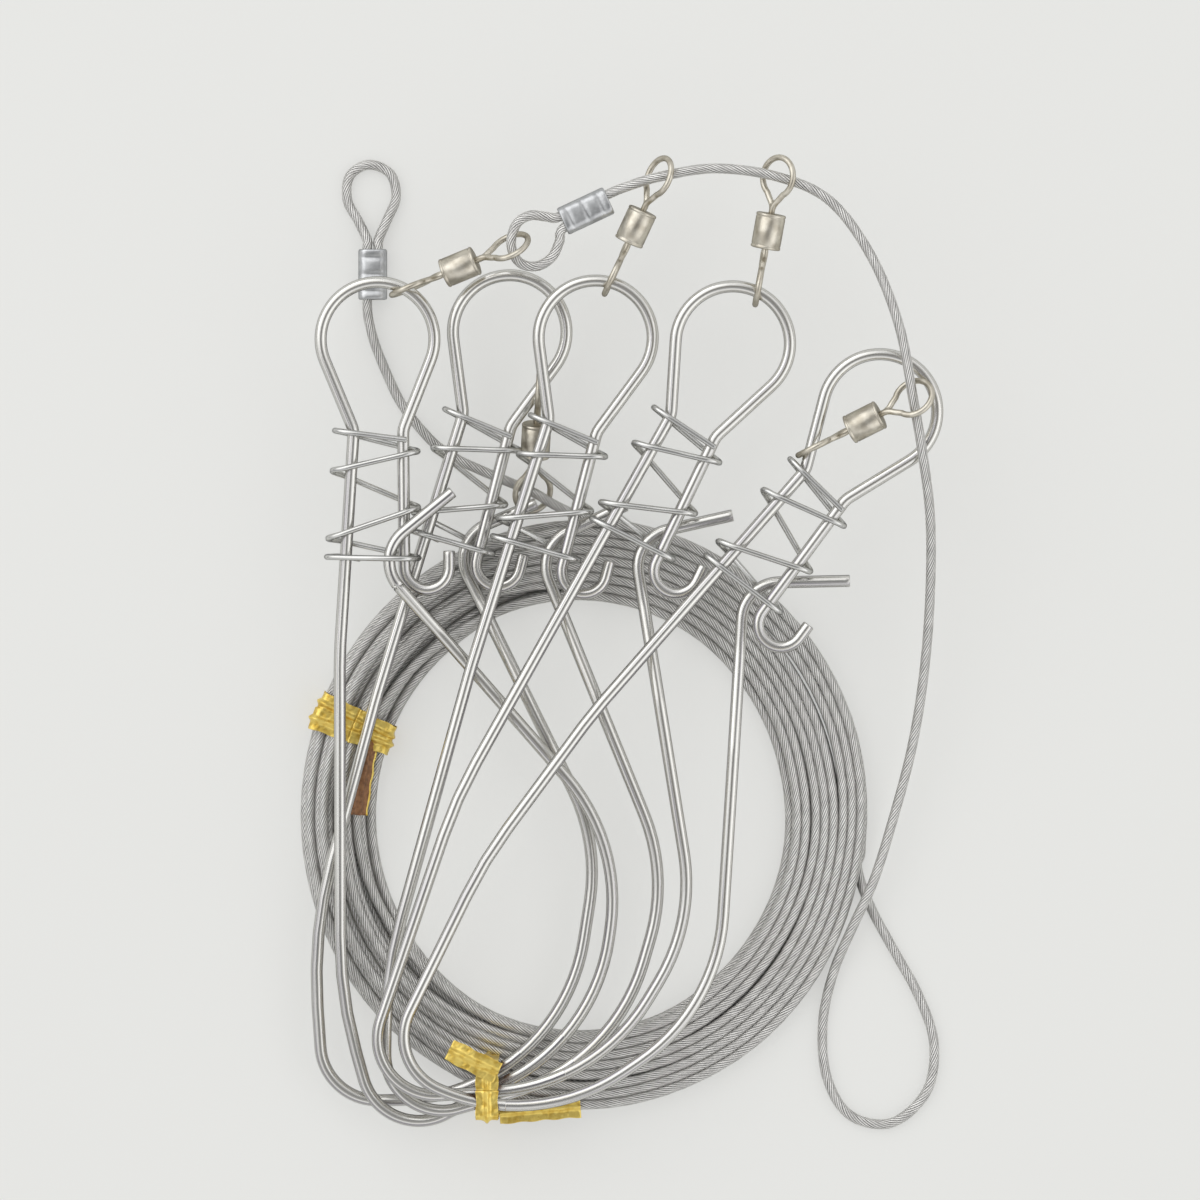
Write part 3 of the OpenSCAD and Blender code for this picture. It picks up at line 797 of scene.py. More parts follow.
@dataclass
class Cable:
    """The coated wire rope: coil, both free runs and their crimped end loops."""

    pile: Pile
    finishes: Finishes
    length: float = 4490.0
    pitch_limits: tuple[float, float] = (1.4, 2.1)
    angle_in: float = 84.0
    angle_out: float = -5.0
    whole_turns: int = 16
    turn_points: int = 90
    lead_in: float = 6.0
    spread: float = 0.5
    wander: float = 0.12
    waves: tuple = ((1, 1.0, 0.6), (2, 0.7, 2.0), (3, 0.5, 1.0))
    partings: tuple = ((24.0, 2.6, 0.28), (2.0, 5.6, 0.12), (318.0, 4.5, 0.2), (268.0, 2.7, 0.16))
    parting_window: tuple[float, float] = (34, 30)
    bunch_at: float = 170.0
    bunch_pitch: float = 1.5
    nest_rise: float = 1.32
    pinch: float = 0.9
    bunch_rows: tuple = (
        (0.5, 1), (1.5, 1), (2.0, 2), (2.5, 1), (3.5, 1), (4.0, 2), (4.5, 1), (5.5, 1),
        (7.0, 0), (6.0, 0), (5.0, 0), (4.0, 0), (3.0, 0), (2.0, 0), (1.0, 0), (0.0, 0),
    )
    bunch_window: tuple = (88, 50, 96, 48)
    turning_row: int = 7
    turning_window: tuple = (58, 48, 82, 30)
    lobes: int = 12
    lobe_depth: float = 0.1
    lay: float = 10.5
    side_points: int = 24
    ring_step: float = 0.5
    route_steps: int = 10
    halvings: int = 20
    strand_gap: float = 0.2
    ferrule_l: float = 8.0
    ferrule_rings: int = 61
    ferrule_sides: int = 32
    ferrule_edge: tuple[float, float] = (0.12, 0.04)
    ferrule_wall: float = 0.6
    crimps: int = 3
    crimp_depth: float = 0.13
    crimp_width: float = 0.16
    left: FreeRun = FreeRun(
        "ferrule_left", 2.0,
        ((-4, 13.6, 2.9), (-7.5, 15.3, 3.7), (-10.7, 17.2, 3.9), (-15, 19, 3.2), (-19.2, 20.8, 1.9),
         (-23, 22.6, 1), (-27, 25.5, 0.64), (-31.5, 31, 0.64), (-34, 36, 0.8), (-36, 41, 1.1),
         (-37, 45, 1.4)),
        (-37.2, 48, 1.5), 90.0, -1.0,
        ((-37.2, 57.5, 1.4), (-38.6, 60.5, 1), (-40.4, 64, 0.64), (-40, 67.8, 0.64), (-37, 69.6, 0.64),
         (-33.6, 68.2, 0.64), (-32.6, 64.5, 0.64), (-34, 60.8, 1), (-35.4, 57.5, 1.4)))
    right: FreeRun = FreeRun(
        "ferrule_right", 1.5,
        ((41.1, -42.4, 0.64), (42, -46, 0.64), (44, -50.6, 0.64), (47.2, -56.4, 0.64), (51, -63.4, 0.64),
         (53.4, -71, 0.64), (52.2, -78.6, 0.64), (46.6, -83.6, 0.64), (40, -82.4, 0.64), (36.3, -76.4, 0.64),
         (35.6, -68, 0.64), (37.2, -59.8, 1.4), (40.2, -52.4, 2.8), (43.6, -44.8, 3.8), (46.6, -35.2, 4.4),
         (49.6, -23.6, 5.4), (51.4, -12, 7.2), (52.2, 0, 10.4), (52, 12.4, 15.8), (50.6, 22.6, 19.9),
         (49, 31.6, 20.9), (46.8, 43, 20.9), (42.4, 54, 20.4), (36, 62.6, 19.6), (27.9, 66.4, 18.5),
         (18, 67.8, 17.5), (9.2, 66.5, 16.6), (4, 65, 15.5)),
        (1, 63.8, 14.8), 205.0, 1.0,
        ((-8.4, 60.4, 14.6), (-11, 60.6, 14.5), (-13.2, 59.2, 14.4), (-14, 56, 14.4), (-12.7, 53.2, 14.4),
         (-10, 52.6, 14.4), (-7.6, 54, 14.5), (-6.4, 56.4, 14.7)))

    @property
    def turns(self) -> float:
        """Turns of the coil."""
        return self.whole_turns + (self.angle_in - self.angle_out) / 360

    @property
    def layers(self) -> Points:
        """Heights of the turns: on the floor, on the lower turns, and nested on the upper ones."""
        low = self.pile.z_low
        return low + np.array([0, self.pile.cable_d, self.pile.cable_d + self.nest_rise])

    def coil_points(self, t: Points, pitch: float) -> Points:
        """Places points of the coil, which spirals in on its upper layer and out on its lower one.

        On one side the tie draws the turns into a bunch: each pass has its own place there, and
        the pass that turns from the upper to the lower layer leaves the bunch first. In a few
        places the outer turns part from the inner ones and let the ground show.

        Args:
            t: Turns from the coil's upper end.
            pitch: Distance between the turns away from the bunch.

        Returns:
            The points.
        """
        p, layers = self.pile, self.layers
        degrees, inward = self.angle_in - 360 * t, np.minimum(t, self.turns - t)
        a = np.radians(degrees)
        down = eased((t - self.turns / 2) * 2 + 0.5)
        z = layers[1] + (layers[0] - layers[1]) * down + p.coil_gap * np.clip(1 - self.lead_in * t, 0, 1) ** 2
        outer = p.coil_r + self.spread - p.cable_d / 2
        r = outer - pitch * inward
        for place_at, count, room in self.partings:
            reach, over = self.parting_window
            near = eased((reach - angle_off(degrees, place_at)) / over)
            r = r + np.where(inward < count, room, -room) * near
        row = np.round(t - (self.angle_in - self.bunch_at + 360) / 360).astype(int)
        row = np.clip(row, 0, self.whole_turns - 1)
        rows, away = np.array(self.bunch_rows)[row], angle_off(degrees, self.bunch_at)
        windows = np.where((row == self.turning_row)[:, None], self.turning_window, self.bunch_window).T
        near, lift = eased((windows[0] - away) / windows[1]), eased((windows[2] - away) / windows[3])
        r = r + (outer - self.pinch - self.bunch_pitch * rows[:, 0] - r) * near
        wave = sum(size * np.sin(times * a + at) for times, size, at in self.waves)
        r = r + self.wander * (1 - near) * wave
        z = z + (layers[rows[:, 1].astype(int)] - z) * lift
        cx, cy = p.coil_centre
        return np.stack([cx + r * np.cos(a), cy + r * p.coil_oval * np.sin(a), z], axis=1)

    def strand_pair(self, run: FreeRun) -> tuple[Points, Points]:
        """Returns the two straight strands that lie in a ferrule, out and back.

        Args:
            run: The free run.

        Returns:
            Both ends of the strand out and of the strand back.
        """
        a, b = math.radians(run.turn), math.radians(run.turn + 90)
        way, across = np.array([math.cos(a), math.sin(a), 0]), np.array([math.cos(b), math.sin(b), 0])
        start = np.array(run.ferrule, float)
        out = np.array([start, start + self.ferrule_l * way])
        return out, out[::-1] + run.side * (self.pile.cable_d + self.strand_gap) * across

    def run_line(self, run: FreeRun, end: Points, before: Points) -> Points:
        """Draws one free run from the coil's end, through its ferrule, round its loop and back.

        Args:
            run: The free run.
            end: Last point of the coil.
            before: The point before it.

        Returns:
            The line from the coil to the cut end.
        """
        out, back = self.strand_pair(run)
        lead = end + unit(end - before) * self.pile.cable_d * run.lead
        return smooth(np.concatenate([[end, lead], run.route, out, run.loop, back]), self.route_steps)

    def centre_line(self) -> Points:
        """Returns the whole cable's line; the coil's pitch gives it its length.

        Returns:
            The line in the model, from the left cut end to the right one.
        """
        t = np.linspace(0, self.turns, int(self.turns * self.turn_points))
        tight, wide = self.pitch_limits
        for _ in range(self.halvings):
            pitch = (tight + wide) / 2
            coil = self.coil_points(t, pitch)
            first = self.run_line(self.left, coil[0], coil[1])
            last = self.run_line(self.right, coil[-1], coil[-2])
            line = np.concatenate([first[::-1], coil[1:-1], last])
            if lengths_along(line)[-1] > self.length:
                tight = pitch
            else:
                wide = pitch
        return self.pile.laid(line)

    def rope(self, line: Points) -> Piece:
        """Builds the cable with its twisted strands as one mesh.

        Args:
            line: Evenly spaced centre line.

        Returns:
            The cable.
        """
        s, share = lengths_along(line), np.arange(self.side_points) / self.side_points
        radius = self.pile.cable_d / 2 - self.lobe_depth * (1 - np.abs(np.cos(math.pi * self.lobes * share)))
        rings = ring_round(line, radius[None], 2 * math.pi * (share[None] - s[:, None] / self.lay), UP)
        rings[:, :, 2] = np.maximum(rings[:, :, 2], 0.0)
        return settle(make_object("cable", *loft(rings, s), self.finishes.cable), "cable", "coated_cable",
                      "cable_coil", "cable_left_run", "cable_right_run")

    def ferrule(self, run: FreeRun) -> Piece:
        """Builds one oval sleeve with its crimp marks.

        Args:
            run: The free run that it holds.

        Returns:
            The sleeve.
        """
        p = self.pile
        out, back = self.strand_pair(run)
        across, way, middle = unit(back[1] - out[0]), unit(out[1] - out[0]), (out[0] + back[1]) / 2
        half, r = (p.cable_d + self.strand_gap) / 2, p.cable_d / 2 + self.ferrule_wall
        steps, (drop, near) = np.linspace(0, 1, self.ferrule_rings)[:, None], self.ferrule_edge
        off_crimp = (((steps * self.crimps) % 1) - 0.5) / self.crimp_width
        squeeze = 1 - self.crimp_depth * np.exp(-(off_crimp**2))
        edge = 1 - drop * np.clip(1 - np.minimum(steps, 1 - steps) / near, 0, 1) ** 2
        a = 2 * math.pi * (np.arange(self.ferrule_sides) + 0.5) / self.ferrule_sides
        x, y = half * np.sign(np.cos(a)) + r * edge * np.cos(a), r * edge * squeeze * np.sin(a)
        x, y, along = x[:, :, None], y[:, :, None], (self.ferrule_l * steps)[:, :, None]
        rings = middle + way * along + x * across + y * UP
        sleeve = make_object(run.name + "_sleeve", *loft(p.laid(rings), steps[:, 0] * self.ferrule_l),
                             self.finishes.ferrule)
        return settle(sleeve, "cable", "ferrule_metal", run.name)

    def build(self) -> list[Piece]:
        """Returns:
            The cable and both sleeves.
        """
        line = evenly(self.centre_line(), self.ring_step)
        rope, sleeves = self.rope(line), [self.ferrule(run) for run in (self.left, self.right)]
        return [rope, *sleeves]


# The hooks.


@dataclass
class SnapHook:
    """One large snap hook: a single bent wire and the lock spring round its neck."""

    number: int
    pile: Pile
    finishes: Finishes
    neck_share: tuple[float, float]
    angle: float
    level: int
    loop_shares: tuple
    split_share: float
    stub_share: tuple[float, float]
    ramp_share: tuple[float, float]
    gate_side: GateSide
    neck_w: float = 7.8
    neck_l: float = 21.8
    eye_r: float = 9.0
    flare: float = 22.0
    curl_r: float = 3.55
    curl_tip: float = 2.6
    latch_bend_r: float = 6.0
    length: float = 116.0
    loop_bends: tuple = (0.52, 0.6, 0.078, 0.26, 0.26)
    latch_share: tuple[float, float] = (-0.13, -0.917)
    neck_bend_share: float = 2.0
    spring_out_left: float = 3.0
    spring_out_right: float = 2.3
    spring_gap: float = 0.25
    spring_depths: tuple = (0.083, 0, 0.156, 0.294, 0.564, 0.784, 0.931, 0.917)
    spring_corner: float = 0.74
    spring_steps: int = 10
    spring_step: float = 0.35
    spring_round: float = 0.1
    spring_sides: int = 16
    wire_step: float = 0.7
    wire_round: float = 0.16
    wire_sides: int = 28
    split_corner: int = 11
    straight_from: float = 1.6
    bend_reach: float = 24.0

    @property
    def eye_up(self) -> float:
        """Height of the eye's centre above the neck."""
        f = math.radians(self.flare)
        return (self.eye_r - self.neck_w / 2 * math.cos(f)) / math.sin(f)

    @property
    def neck_top(self) -> Points:
        """Place of the top of the neck in the pile's planes.

        Returns:
            The place, its height being the plane of the hook.
        """
        cx, cy = self.pile.coil_centre
        x, y = self.neck_share
        return np.array([cx + self.pile.coil_r * x, cy + self.pile.coil_r * y, self.level * self.pile.pitch])

    def to_model(self, p: Points) -> Points:
        """Moves points from the hook's own plane to the model."""
        turned = turn_about_z(np.atleast_2d(p), self.angle - 90)
        return self.pile.laid(self.pile.on_coil(self.neck_top + turned))

    def loop_corner(self, k: int) -> Points:
        """Returns one corner of the big loop."""
        x, y = self.loop_shares[k]
        return np.array([self.length * x, self.length * y, 0.0])

    def corners(self) -> tuple[Points, list[float]]:
        """Returns the wire's corner points and the bend radius at each.

        Returns:
            The corner points from the curl to the stub, and the bend radii.
        """
        h, r, dip = self.neck_w / 2, self.curl_r, self.gate_side.value * self.pile.gate_dip
        eye_turn = (180 + 2 * self.flare) / 3
        reach = self.eye_r / math.cos(math.radians(eye_turn / 2))

        def eye_corner(a: float) -> list[float]:
            """Returns a corner of the eye at an angle round it."""
            return [reach * math.cos(math.radians(a)), self.eye_up + reach * math.sin(math.radians(a)), 0]

        latch = np.array([self.neck_w * self.latch_share[0], self.neck_l * self.latch_share[1], 0.0])
        belly = self.loop_corner(4)
        way = unit(belly - latch)
        ramp = [latch + way * share * self.neck_l for share in self.ramp_share]
        down = np.array([0, 0, dip])
        stub = np.array([self.neck_w * self.stub_share[0], self.neck_l * self.stub_share[1], 0.0])
        points = [
            [h + 2 * r, self.curl_tip - self.neck_l, 0], [h + 2 * r, -self.neck_l - r, 0],
            [h, -self.neck_l - r, 0], [h, 0, 0], eye_corner(eye_turn / 2 - self.flare), eye_corner(90),
            eye_corner(180 + self.flare - eye_turn / 2), [-h, 0, 0],
            *[self.loop_corner(k) for k in range(5)], ramp[1], ramp[0] + down, latch + down, stub + down,
        ]
        bends = [0, r, r, self.neck_bend_share * self.pile.wire_d, *[self.eye_r] * 3,
                 self.neck_bend_share * self.pile.wire_d, *[s * self.length for s in self.loop_bends],
                 *[self.latch_bend_r] * 3, 0]
        return np.array([np.asarray(q, float) for q in points]), bends

    def wire_lines(self) -> tuple[Points, Points]:
        """Returns the fixed part of the wire and its gate, which meet in the bottom bend.

        Returns:
            The fixed line, and the line of the gate.
        """
        corners, bends = self.corners()
        line, starts = rounded(corners, bends)
        first, last = starts[self.split_corner], starts[self.split_corner + 1]
        steps = np.linalg.norm(np.diff(line[first:last + 1], axis=0), axis=1)
        straight = np.flatnonzero(steps > self.straight_from * steps[0])
        arc = int(straight[0]) if len(straight) else last - first
        cut = first + int(round(arc * self.split_share))
        return evenly(line[:cut + 1], self.wire_step), evenly(line[cut:], self.wire_step)

    def fixed_wire(self, line: Points) -> Piece:
        """Builds the eye, neck, long leg and half of the bottom bend.

        Args:
            line: Line of the fixed part in the hook's plane.

        Returns:
            The wire.
        """
        n, r = self.number, self.pile.wire_d / 2
        line, radii = eased_ends(line, r, self.wire_round)
        radii[-3:] = r
        made = tube(f"hook_{n}_long_leg", self.to_model(line), radii, self.wire_sides, self.finishes.hook)
        return settle(made, f"hook_{n}", "hook_wire", f"hook_{n}_frame")

    def gate_wire(self, line: Points) -> Piece:
        """Builds the gate, which bends out of the fixed wire.

        Args:
            line: Line of the gate in the hook's plane.

        Returns:
            The gate.
        """
        n, r = self.number, self.pile.wire_d / 2
        line, radii = eased_ends(line, r, self.wire_round)
        radii[:3] = r
        path = self.to_model(line)
        made = tube(f"hook_{n}_gate_leg", path, radii, self.wire_sides, self.finishes.hook)
        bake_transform(made)
        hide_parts(f"hook_{n}_gate")
        return made

    def spring_edge(self, k: int) -> Points:
        """Returns the outermost point of one half turn of the lock spring.

        Args:
            k: Number of the half turn, from the top.

        Returns:
            The point, in the hook's plane.
        """
        y = -self.neck_l * self.spring_depths[k]
        if k % 2 == 0:
            return np.array([self.neck_w / 2 + self.spring_out_right, y, 0])
        first = self.loop_corner(0)
        lean = (first[0] + self.neck_w / 2) / first[1]
        return np.array([-self.neck_w / 2 + lean * y - self.spring_out_left, y, 0])

    def spring_corner_x(self, k: int) -> float:
        """Returns where a strand is level, near one of its ends."""
        out = self.spring_out_right if k % 2 == 0 else self.spring_out_left
        return float(self.spring_edge(k)[0]) - (1 if k % 2 == 0 else -1) * self.spring_corner * out

    def spring_line(self) -> Points:
        """Returns the line of the lock spring, in the hook's plane.

        Returns:
            Points of the line, from its top end.
        """
        flat = self.pile.wire_d / 2 + self.pile.spring_d / 2 + self.spring_gap
        points, last = [], len(self.spring_depths) - 2
        for k in range(last + 1):
            a, b = self.spring_edge(k), self.spring_edge(k + 1)
            front = 1 if k % 2 == 0 else -1
            deep = front == self.gate_side.value and k >= 5
            flat_z, deep_z = front * flat, front * (self.pile.spring_deep if deep else flat)
            x0, x1 = self.spring_corner_x(k), self.spring_corner_x(k + 1)
            for x, z in ((x0, deep_z if k % 2 == 0 else flat_z), ((x0 + x1) / 2, deep_z),
                         (x1, flat_z if k % 2 == 0 else deep_z)):
                points.append([x, a[1] + (b[1] - a[1]) * (x - a[0]) / (b[0] - a[0]), z])
            if k < last:
                points.append(b)
        e, x = self.spring_edge(last + 1), self.spring_corner_x(last + 1)
        points += [e, [x, e[1], -flat], [x + self.spring_out_left, e[1] - self.pile.spring_d / 2, -flat]]
        return smooth(np.array([np.asarray(q, float) for q in points]), self.spring_steps)

    def lock_spring(self) -> Piece:
        """Builds the thin wire spring that keeps the gate shut.

        Returns:
            The spring.
        """
        n, line = self.number, evenly(self.spring_line(), self.spring_step)
        line, radii = eased_ends(line, self.pile.spring_d / 2, self.spring_round)
        made = tube(f"hook_{n}_neck_spring", self.to_model(line), radii, self.spring_sides,
                    self.finishes.spring)
        return settle(made, f"hook_{n}", "spring_wire", f"hook_{n}_lock_spring")

    def build(self) -> list[Piece]:
        """Builds the wire and its spring."""
        fixed, gate = self.wire_lines()
        return [self.fixed_wire(fixed), self.gate_wire(gate), self.lock_spring()]


# The swivels.


@dataclass
class BarrelSwivel:
    """Two wire eyes whose headed shanks turn in a barrel."""

    hook: SnapHook
    seat_angle: float | None
    seat_up: float
    seat_side: int
    aim: float
    cable_eye_z: float
    play: float
    eye_tilt: float
    wire_d: float = 0.95
    barrel_d: float = 4.7
    barrel_l: float = 5.6
    length: float = 17.2
    eye_r: float = 3.1
    barrel_end: float = 0.8
    head_gap: float = 0.1
    bore_gap: float = 0.075
    head_t: float = 0.8
    head_d: float = 2.4
    head_edge: float = 0.12
    opening: float = 32.0
    ring_points: int = 40
    shank_points: int = 24
    smooth_steps: int = 6
    wire_step: float = 0.22
    wire_sides: int = 18
    turned_sides: int = 48

    def axes(self) -> dict[str, Points]:
        """Returns the places of both eyes and the swivel's directions, in the model.

        Returns:
            Each place or direction by its name.
        """
        h = self.hook
        if self.seat_angle is None:
            out = h.neck_w / 2 + self.seat_up * math.tan(math.radians(h.flare))
            seat = [self.seat_side * out, self.seat_up, 0]
        else:
            a = math.radians(self.seat_angle)
            seat = [h.eye_r * math.cos(a), h.eye_up + h.eye_r * math.sin(a), 0]
        seat_at = h.to_model(np.array(seat))[0]
        reach = self.length + self.play
        rise = self.cable_eye_z - seat_at[2]
        flat = math.sqrt(reach**2 - rise**2)
        a = math.radians(self.aim)
        eye = seat_at + np.array([flat * math.cos(a), flat * math.sin(a), rise])
        way = unit(eye - seat_at)
        up = square_to(UP, way)
        side = np.cross(way, up)
        t = math.radians(self.eye_tilt)
        return {"hook_eye": seat_at + self.play * way, "cable_eye": eye, "way": way, "up": up, "side": side,
                "cable_axis": up * math.cos(t) - side * math.sin(t)}

    def eye(self, name: str, body: str, node: str, centre: Points, way: Points, axis: Points) -> Piece:
        """Builds one eye: a ring whose two ends close in on the shank.

        Args:
            name: Name of the piece.
            body: Body that it rides on.
            node: Node that it stands for.
            centre: Centre of the ring.
            way: Direction from the ring to the barrel.
            axis: Direction square to the ring.

        Returns:
            The eye.
        """
        r, n, edge, finish = self.eye_r, self.ring_points, self.head_edge, self.hook.finishes.swivel
        head = self.length / 2 - self.barrel_l / 2 + self.barrel_end + self.head_gap
        a = np.radians(np.linspace(self.opening, 360 - self.opening, n))
        ring = np.stack([r * np.cos(a), r * np.sin(a), np.zeros(n)], axis=1)
        close = np.array([[head + 0.4, 0.05, 0], [head - 0.6, 0.06, 0], [r + 2.0, 0.12, 0.12],
                          [r + 1.15, 0.42, 0.1], [r + 0.35, 1.05, 0.05]])
        loop = smooth(np.concatenate([close, ring, close[::-1] * [1, -1, -1]]), self.smooth_steps)
        shank = np.linspace([r + 1.1, 0, 0], [head + 0.2, 0, 0], self.shank_points)
        pieces = []
        for part, line in ((name, evenly(loop, self.wire_step)), (name + "_shank", shank)):
            path = place(line, centre, way, axis)
            sections = tube_sections(path, self.wire_d / 2, self.wire_sides, axis)
            pieces.append(make_object(part, *loft(sections, lengths_along(line)), finish))
        top = self.head_d / 2
        thick = self.head_t
        profile = np.array([[0, top - edge], [edge, top], [thick - edge, top], [thick, top - edge]])
        pieces.append(self.turned(name + "_head", profile + [head, 0], centre, way, axis))
        return settle(join(pieces, name), body, "swivel_metal", node)

    def turned(self, name: str, profile: Points, centre: Points, way: Points, across: Points) -> Piece:
        """Turns a profile of (place along, radius) about the swivel's axis.

        Args:
            name: Name of the piece.
            profile: Place along the axis and radius, row by row.
            centre: Where the axis starts.
            way: Direction of the axis.
            across: Direction square to it.

        Returns:
            The turned piece.
        """
        a = 2 * math.pi * np.arange(self.turned_sides) / self.turned_sides
        rings = np.stack([
            np.stack([np.full(len(a), x), q * np.cos(a), q * np.sin(a)], axis=1) for x, q in profile])
        moved = place(rings.reshape(-1, 3), centre, way, across).reshape(rings.shape)
        along = lengths_along(np.pad(profile, ((0, 0), (0, 1))))
        return make_object(name, *loft(moved, along), self.hook.finishes.swivel)

    def barrel(self, at: dict[str, Points]) -> Piece:
        """Builds the barrel with its rolled rims.

        Args:
            at: Places and directions of the swivel.

        Returns:
            The barrel.
        """
        r, h, n = self.barrel_d / 2, self.barrel_l / 2, self.hook.number
        bore = self.wire_d / 2 + self.bore_gap
        rim = [[-h, bore + 0.2], [-h + 0.05, bore + 0.4], [-h + 0.05, r - 0.34], [-h, r - 0.26],
               [-h + 0.05, r - 0.1], [-h + 0.17, r], [-h + 0.42, r], [-h + 0.50, r - 0.10],
               [-h + 0.60, r - 0.10], [-h + 0.68, r - 0.03]]
        profile = np.array(rim + [[-x, q] for x, q in rim[::-1]])
        middle = (at["hook_eye"] + at["cable_eye"]) / 2
        made = self.turned(f"swivel_{n}_body", profile, middle, at["way"], at["up"])
        return settle(made, f"swivel_{n}_sleeve", "swivel_metal", f"swivel_{n}_barrel")

    def build(self) -> list[Piece]:
        """Builds the barrel and both eyes.

        Returns:
            The barrel, the eye on the cable and the eye on the hook.
        """
        at, n = self.axes(), self.hook.number
        return [
            self.barrel(at),
            self.eye(f"swivel_{n}_outer_eye", f"swivel_{n}_ring", f"swivel_{n}_cable_eye", at["cable_eye"],
                     -at["way"], at["cable_axis"]),
            self.eye(f"swivel_{n}_inner_eye", f"swivel_{n}_link", f"swivel_{n}_hook_eye", at["hook_eye"],
                     at["way"], at["side"]),
        ]


# The ties.


@dataclass(frozen=True)
class Wrap:
    """How one turn of a tie lies: its sideways place at both ends of its top, and its lift."""

    outer_y: float = 0.0
    inner_y: float = 0.0
    lift: float = 0.0


@dataclass(frozen=True)
class Tail:
    """A free end of a tie: its route, the face that lies up, and how far it leans over."""

    route: tuple
    face: StripFace = StripFace.FOIL
    lean: float = 0.0


@dataclass
class TwistTie:
    """A foil strip over a steel core, bent round a bundle, with free ends."""

    name: str
    pile: Pile
    finishes: Finishes
    place_at: tuple[float, float]
    heading: float
    inner: float
    outer: float
    top: float
    wraps: tuple[Wrap, ...]
    tails: tuple[Tail, ...]
    width: float = 3.5
    thickness: float = 0.14
    core_d: float = 0.5
    bend: float = 0.9
    hump: float = 0.71
    crease: float = 0.15
    ridge_w: float = 0.42
    ridge_gap: float = 0.06
    columns: int = 33
    bend_step: float = 8.0
    route_steps: int = 8
    line_step: float = 0.3
    core_sides: int = 12

    def to_model(self, p: Points) -> Points:
        """Moves points from the tie's own axes to the model."""
        return self.pile.laid(turn_about_z(p, self.heading) + np.array([*self.place_at, 0]))

    def wrap_line(self, wrap: Wrap) -> Points:
        """Returns the line once round the bundle, on the strip's inner face.

        Args:
            wrap: How the turn lies.

        Returns:
            Points of the line, in the tie's own axes.
        """
        middle = (self.inner + self.outer) / 2
        y, up = (wrap.inner_y + wrap.outer_y) / 2, self.top + wrap.lift
        out, back = self.outer + wrap.lift, self.inner - wrap.lift
        line = np.array([
            [middle, y, up], [out, wrap.outer_y, up], [out, wrap.outer_y, self.hump],
            [back, wrap.inner_y, self.hump], [back, wrap.inner_y, up], [middle - 0.02, y, up],
        ])
        return evenly(rounded(line, [self.bend] * len(line), self.bend_step)[0], self.line_step)

    def strip(self, name: str, line: Points, seed: float, face: StripFace, lean: float) -> Piece:
        """Builds one stretch of the foil strip with its hump, creases and curled edges.

        Args:
            name: Name of the piece.
            line: Line of the strip's inner face, in the tie's own axes.
            seed: Sets where the creases fall.
            face: Which face lies up.
            lean: How far the strip leans to its left, in degrees.

        Returns:
            The strip, with the foil and the backing on its two faces.
        """
        side, ups = frames_along(line, UP)
        c, n = math.cos(math.radians(lean)), math.sin(math.radians(lean))
        side, ups = side * c + ups * n, ups * c - side * n
        s, cols = lengths_along(line), self.columns
        along, across = np.meshgrid(s, np.linspace(-0.5, 0.5, cols), indexing="ij")
        ridge = (self.core_d + self.ridge_gap) * np.exp(-(across * self.width / self.ridge_w) ** 2)
        fold = np.abs((along * 0.62 + across * 0.9 + 0.35 * np.sin(along * 1.9 + seed)) % 1 - 0.5) * 2
        cross = np.abs((along * 0.41 - across * 1.3 + seed * 0.37) % 1 - 0.5) * 2
        ripple = np.sin(along * 7.7 + across * 19 + seed * 5.1) * 0.22
        wave = (fold - 0.5) * 0.9 + (cross - 0.5) * 0.7 + ripple
        height = np.maximum(ridge + self.crease * (wave + 0.3) * (0.45 + 1.1 * np.abs(across)), 0.02)
        out = across * (self.width * (1 + 0.05 * np.sin(s * 1.7 + seed)))[:, None]
        low = line[:, None] + out[..., None] * side[:, None] + height[..., None] * ups[:, None]
        rings = np.concatenate([low, (low + self.thickness * ups[:, None])[:, ::-1]], axis=1)
        points = np.maximum(self.to_model(rings.reshape(-1, 3)), [-np.inf, -np.inf, 0.0])
        made = make_object(name, *loft(points.reshape(rings.shape), s), self.finishes.foil)
        made.data.materials.append(self.finishes.backing)
        first, second = (cols + 2, cols * 2 - 4) if face is StripFace.BACKING else (0, cols - 1)
        sides = cols * 2
        for index, polygon in enumerate(made.data.polygons):
            if index < (len(s) - 1) * sides and first <= index % sides < second:
                polygon.material_index = 1
        return made

    def core(self, lines: list[Points]) -> Piece:
        """Builds the steel core, which shows at the strip's cut ends.

        Args:
            lines: Lines of the strip's stretches.

        Returns:
            The core.
        """
        pieces = []
        for k, line in enumerate(lines):
            raised = self.to_model(line + frames_along(line, UP)[1] * (self.core_d + self.ridge_gap) / 2)
            pieces.append(tube(f"{self.name}_wire_{k}", raised, self.core_d / 2, self.core_sides,
                               self.finishes.core))
        return settle(join(pieces, f"{self.name}_wire"), "cable", "tie_wire", f"{self.name}_core")

    def build(self) -> list[Piece]:
        """Builds the strip and its core.

        Returns:
            The strip and its core.
        """
        stretches = [(self.wrap_line(wrap), StripFace.FOIL, 0.0) for wrap in self.wraps]
        stretches += [(evenly(smooth(tail.route, self.route_steps), self.line_step), tail.face, tail.lean)
                      for tail in self.tails]
        strips = [self.strip(f"{self.name}_strip_{k}", line, 1.7 * k + len(self.name), face, lean)
                  for k, (line, face, lean) in enumerate(stretches)]
        foil = settle(join(strips, f"{self.name}_strip"), "cable", "tie_foil", f"{self.name}_foil")
        return [foil, self.core([line for line, _, _ in stretches])]


# The set.


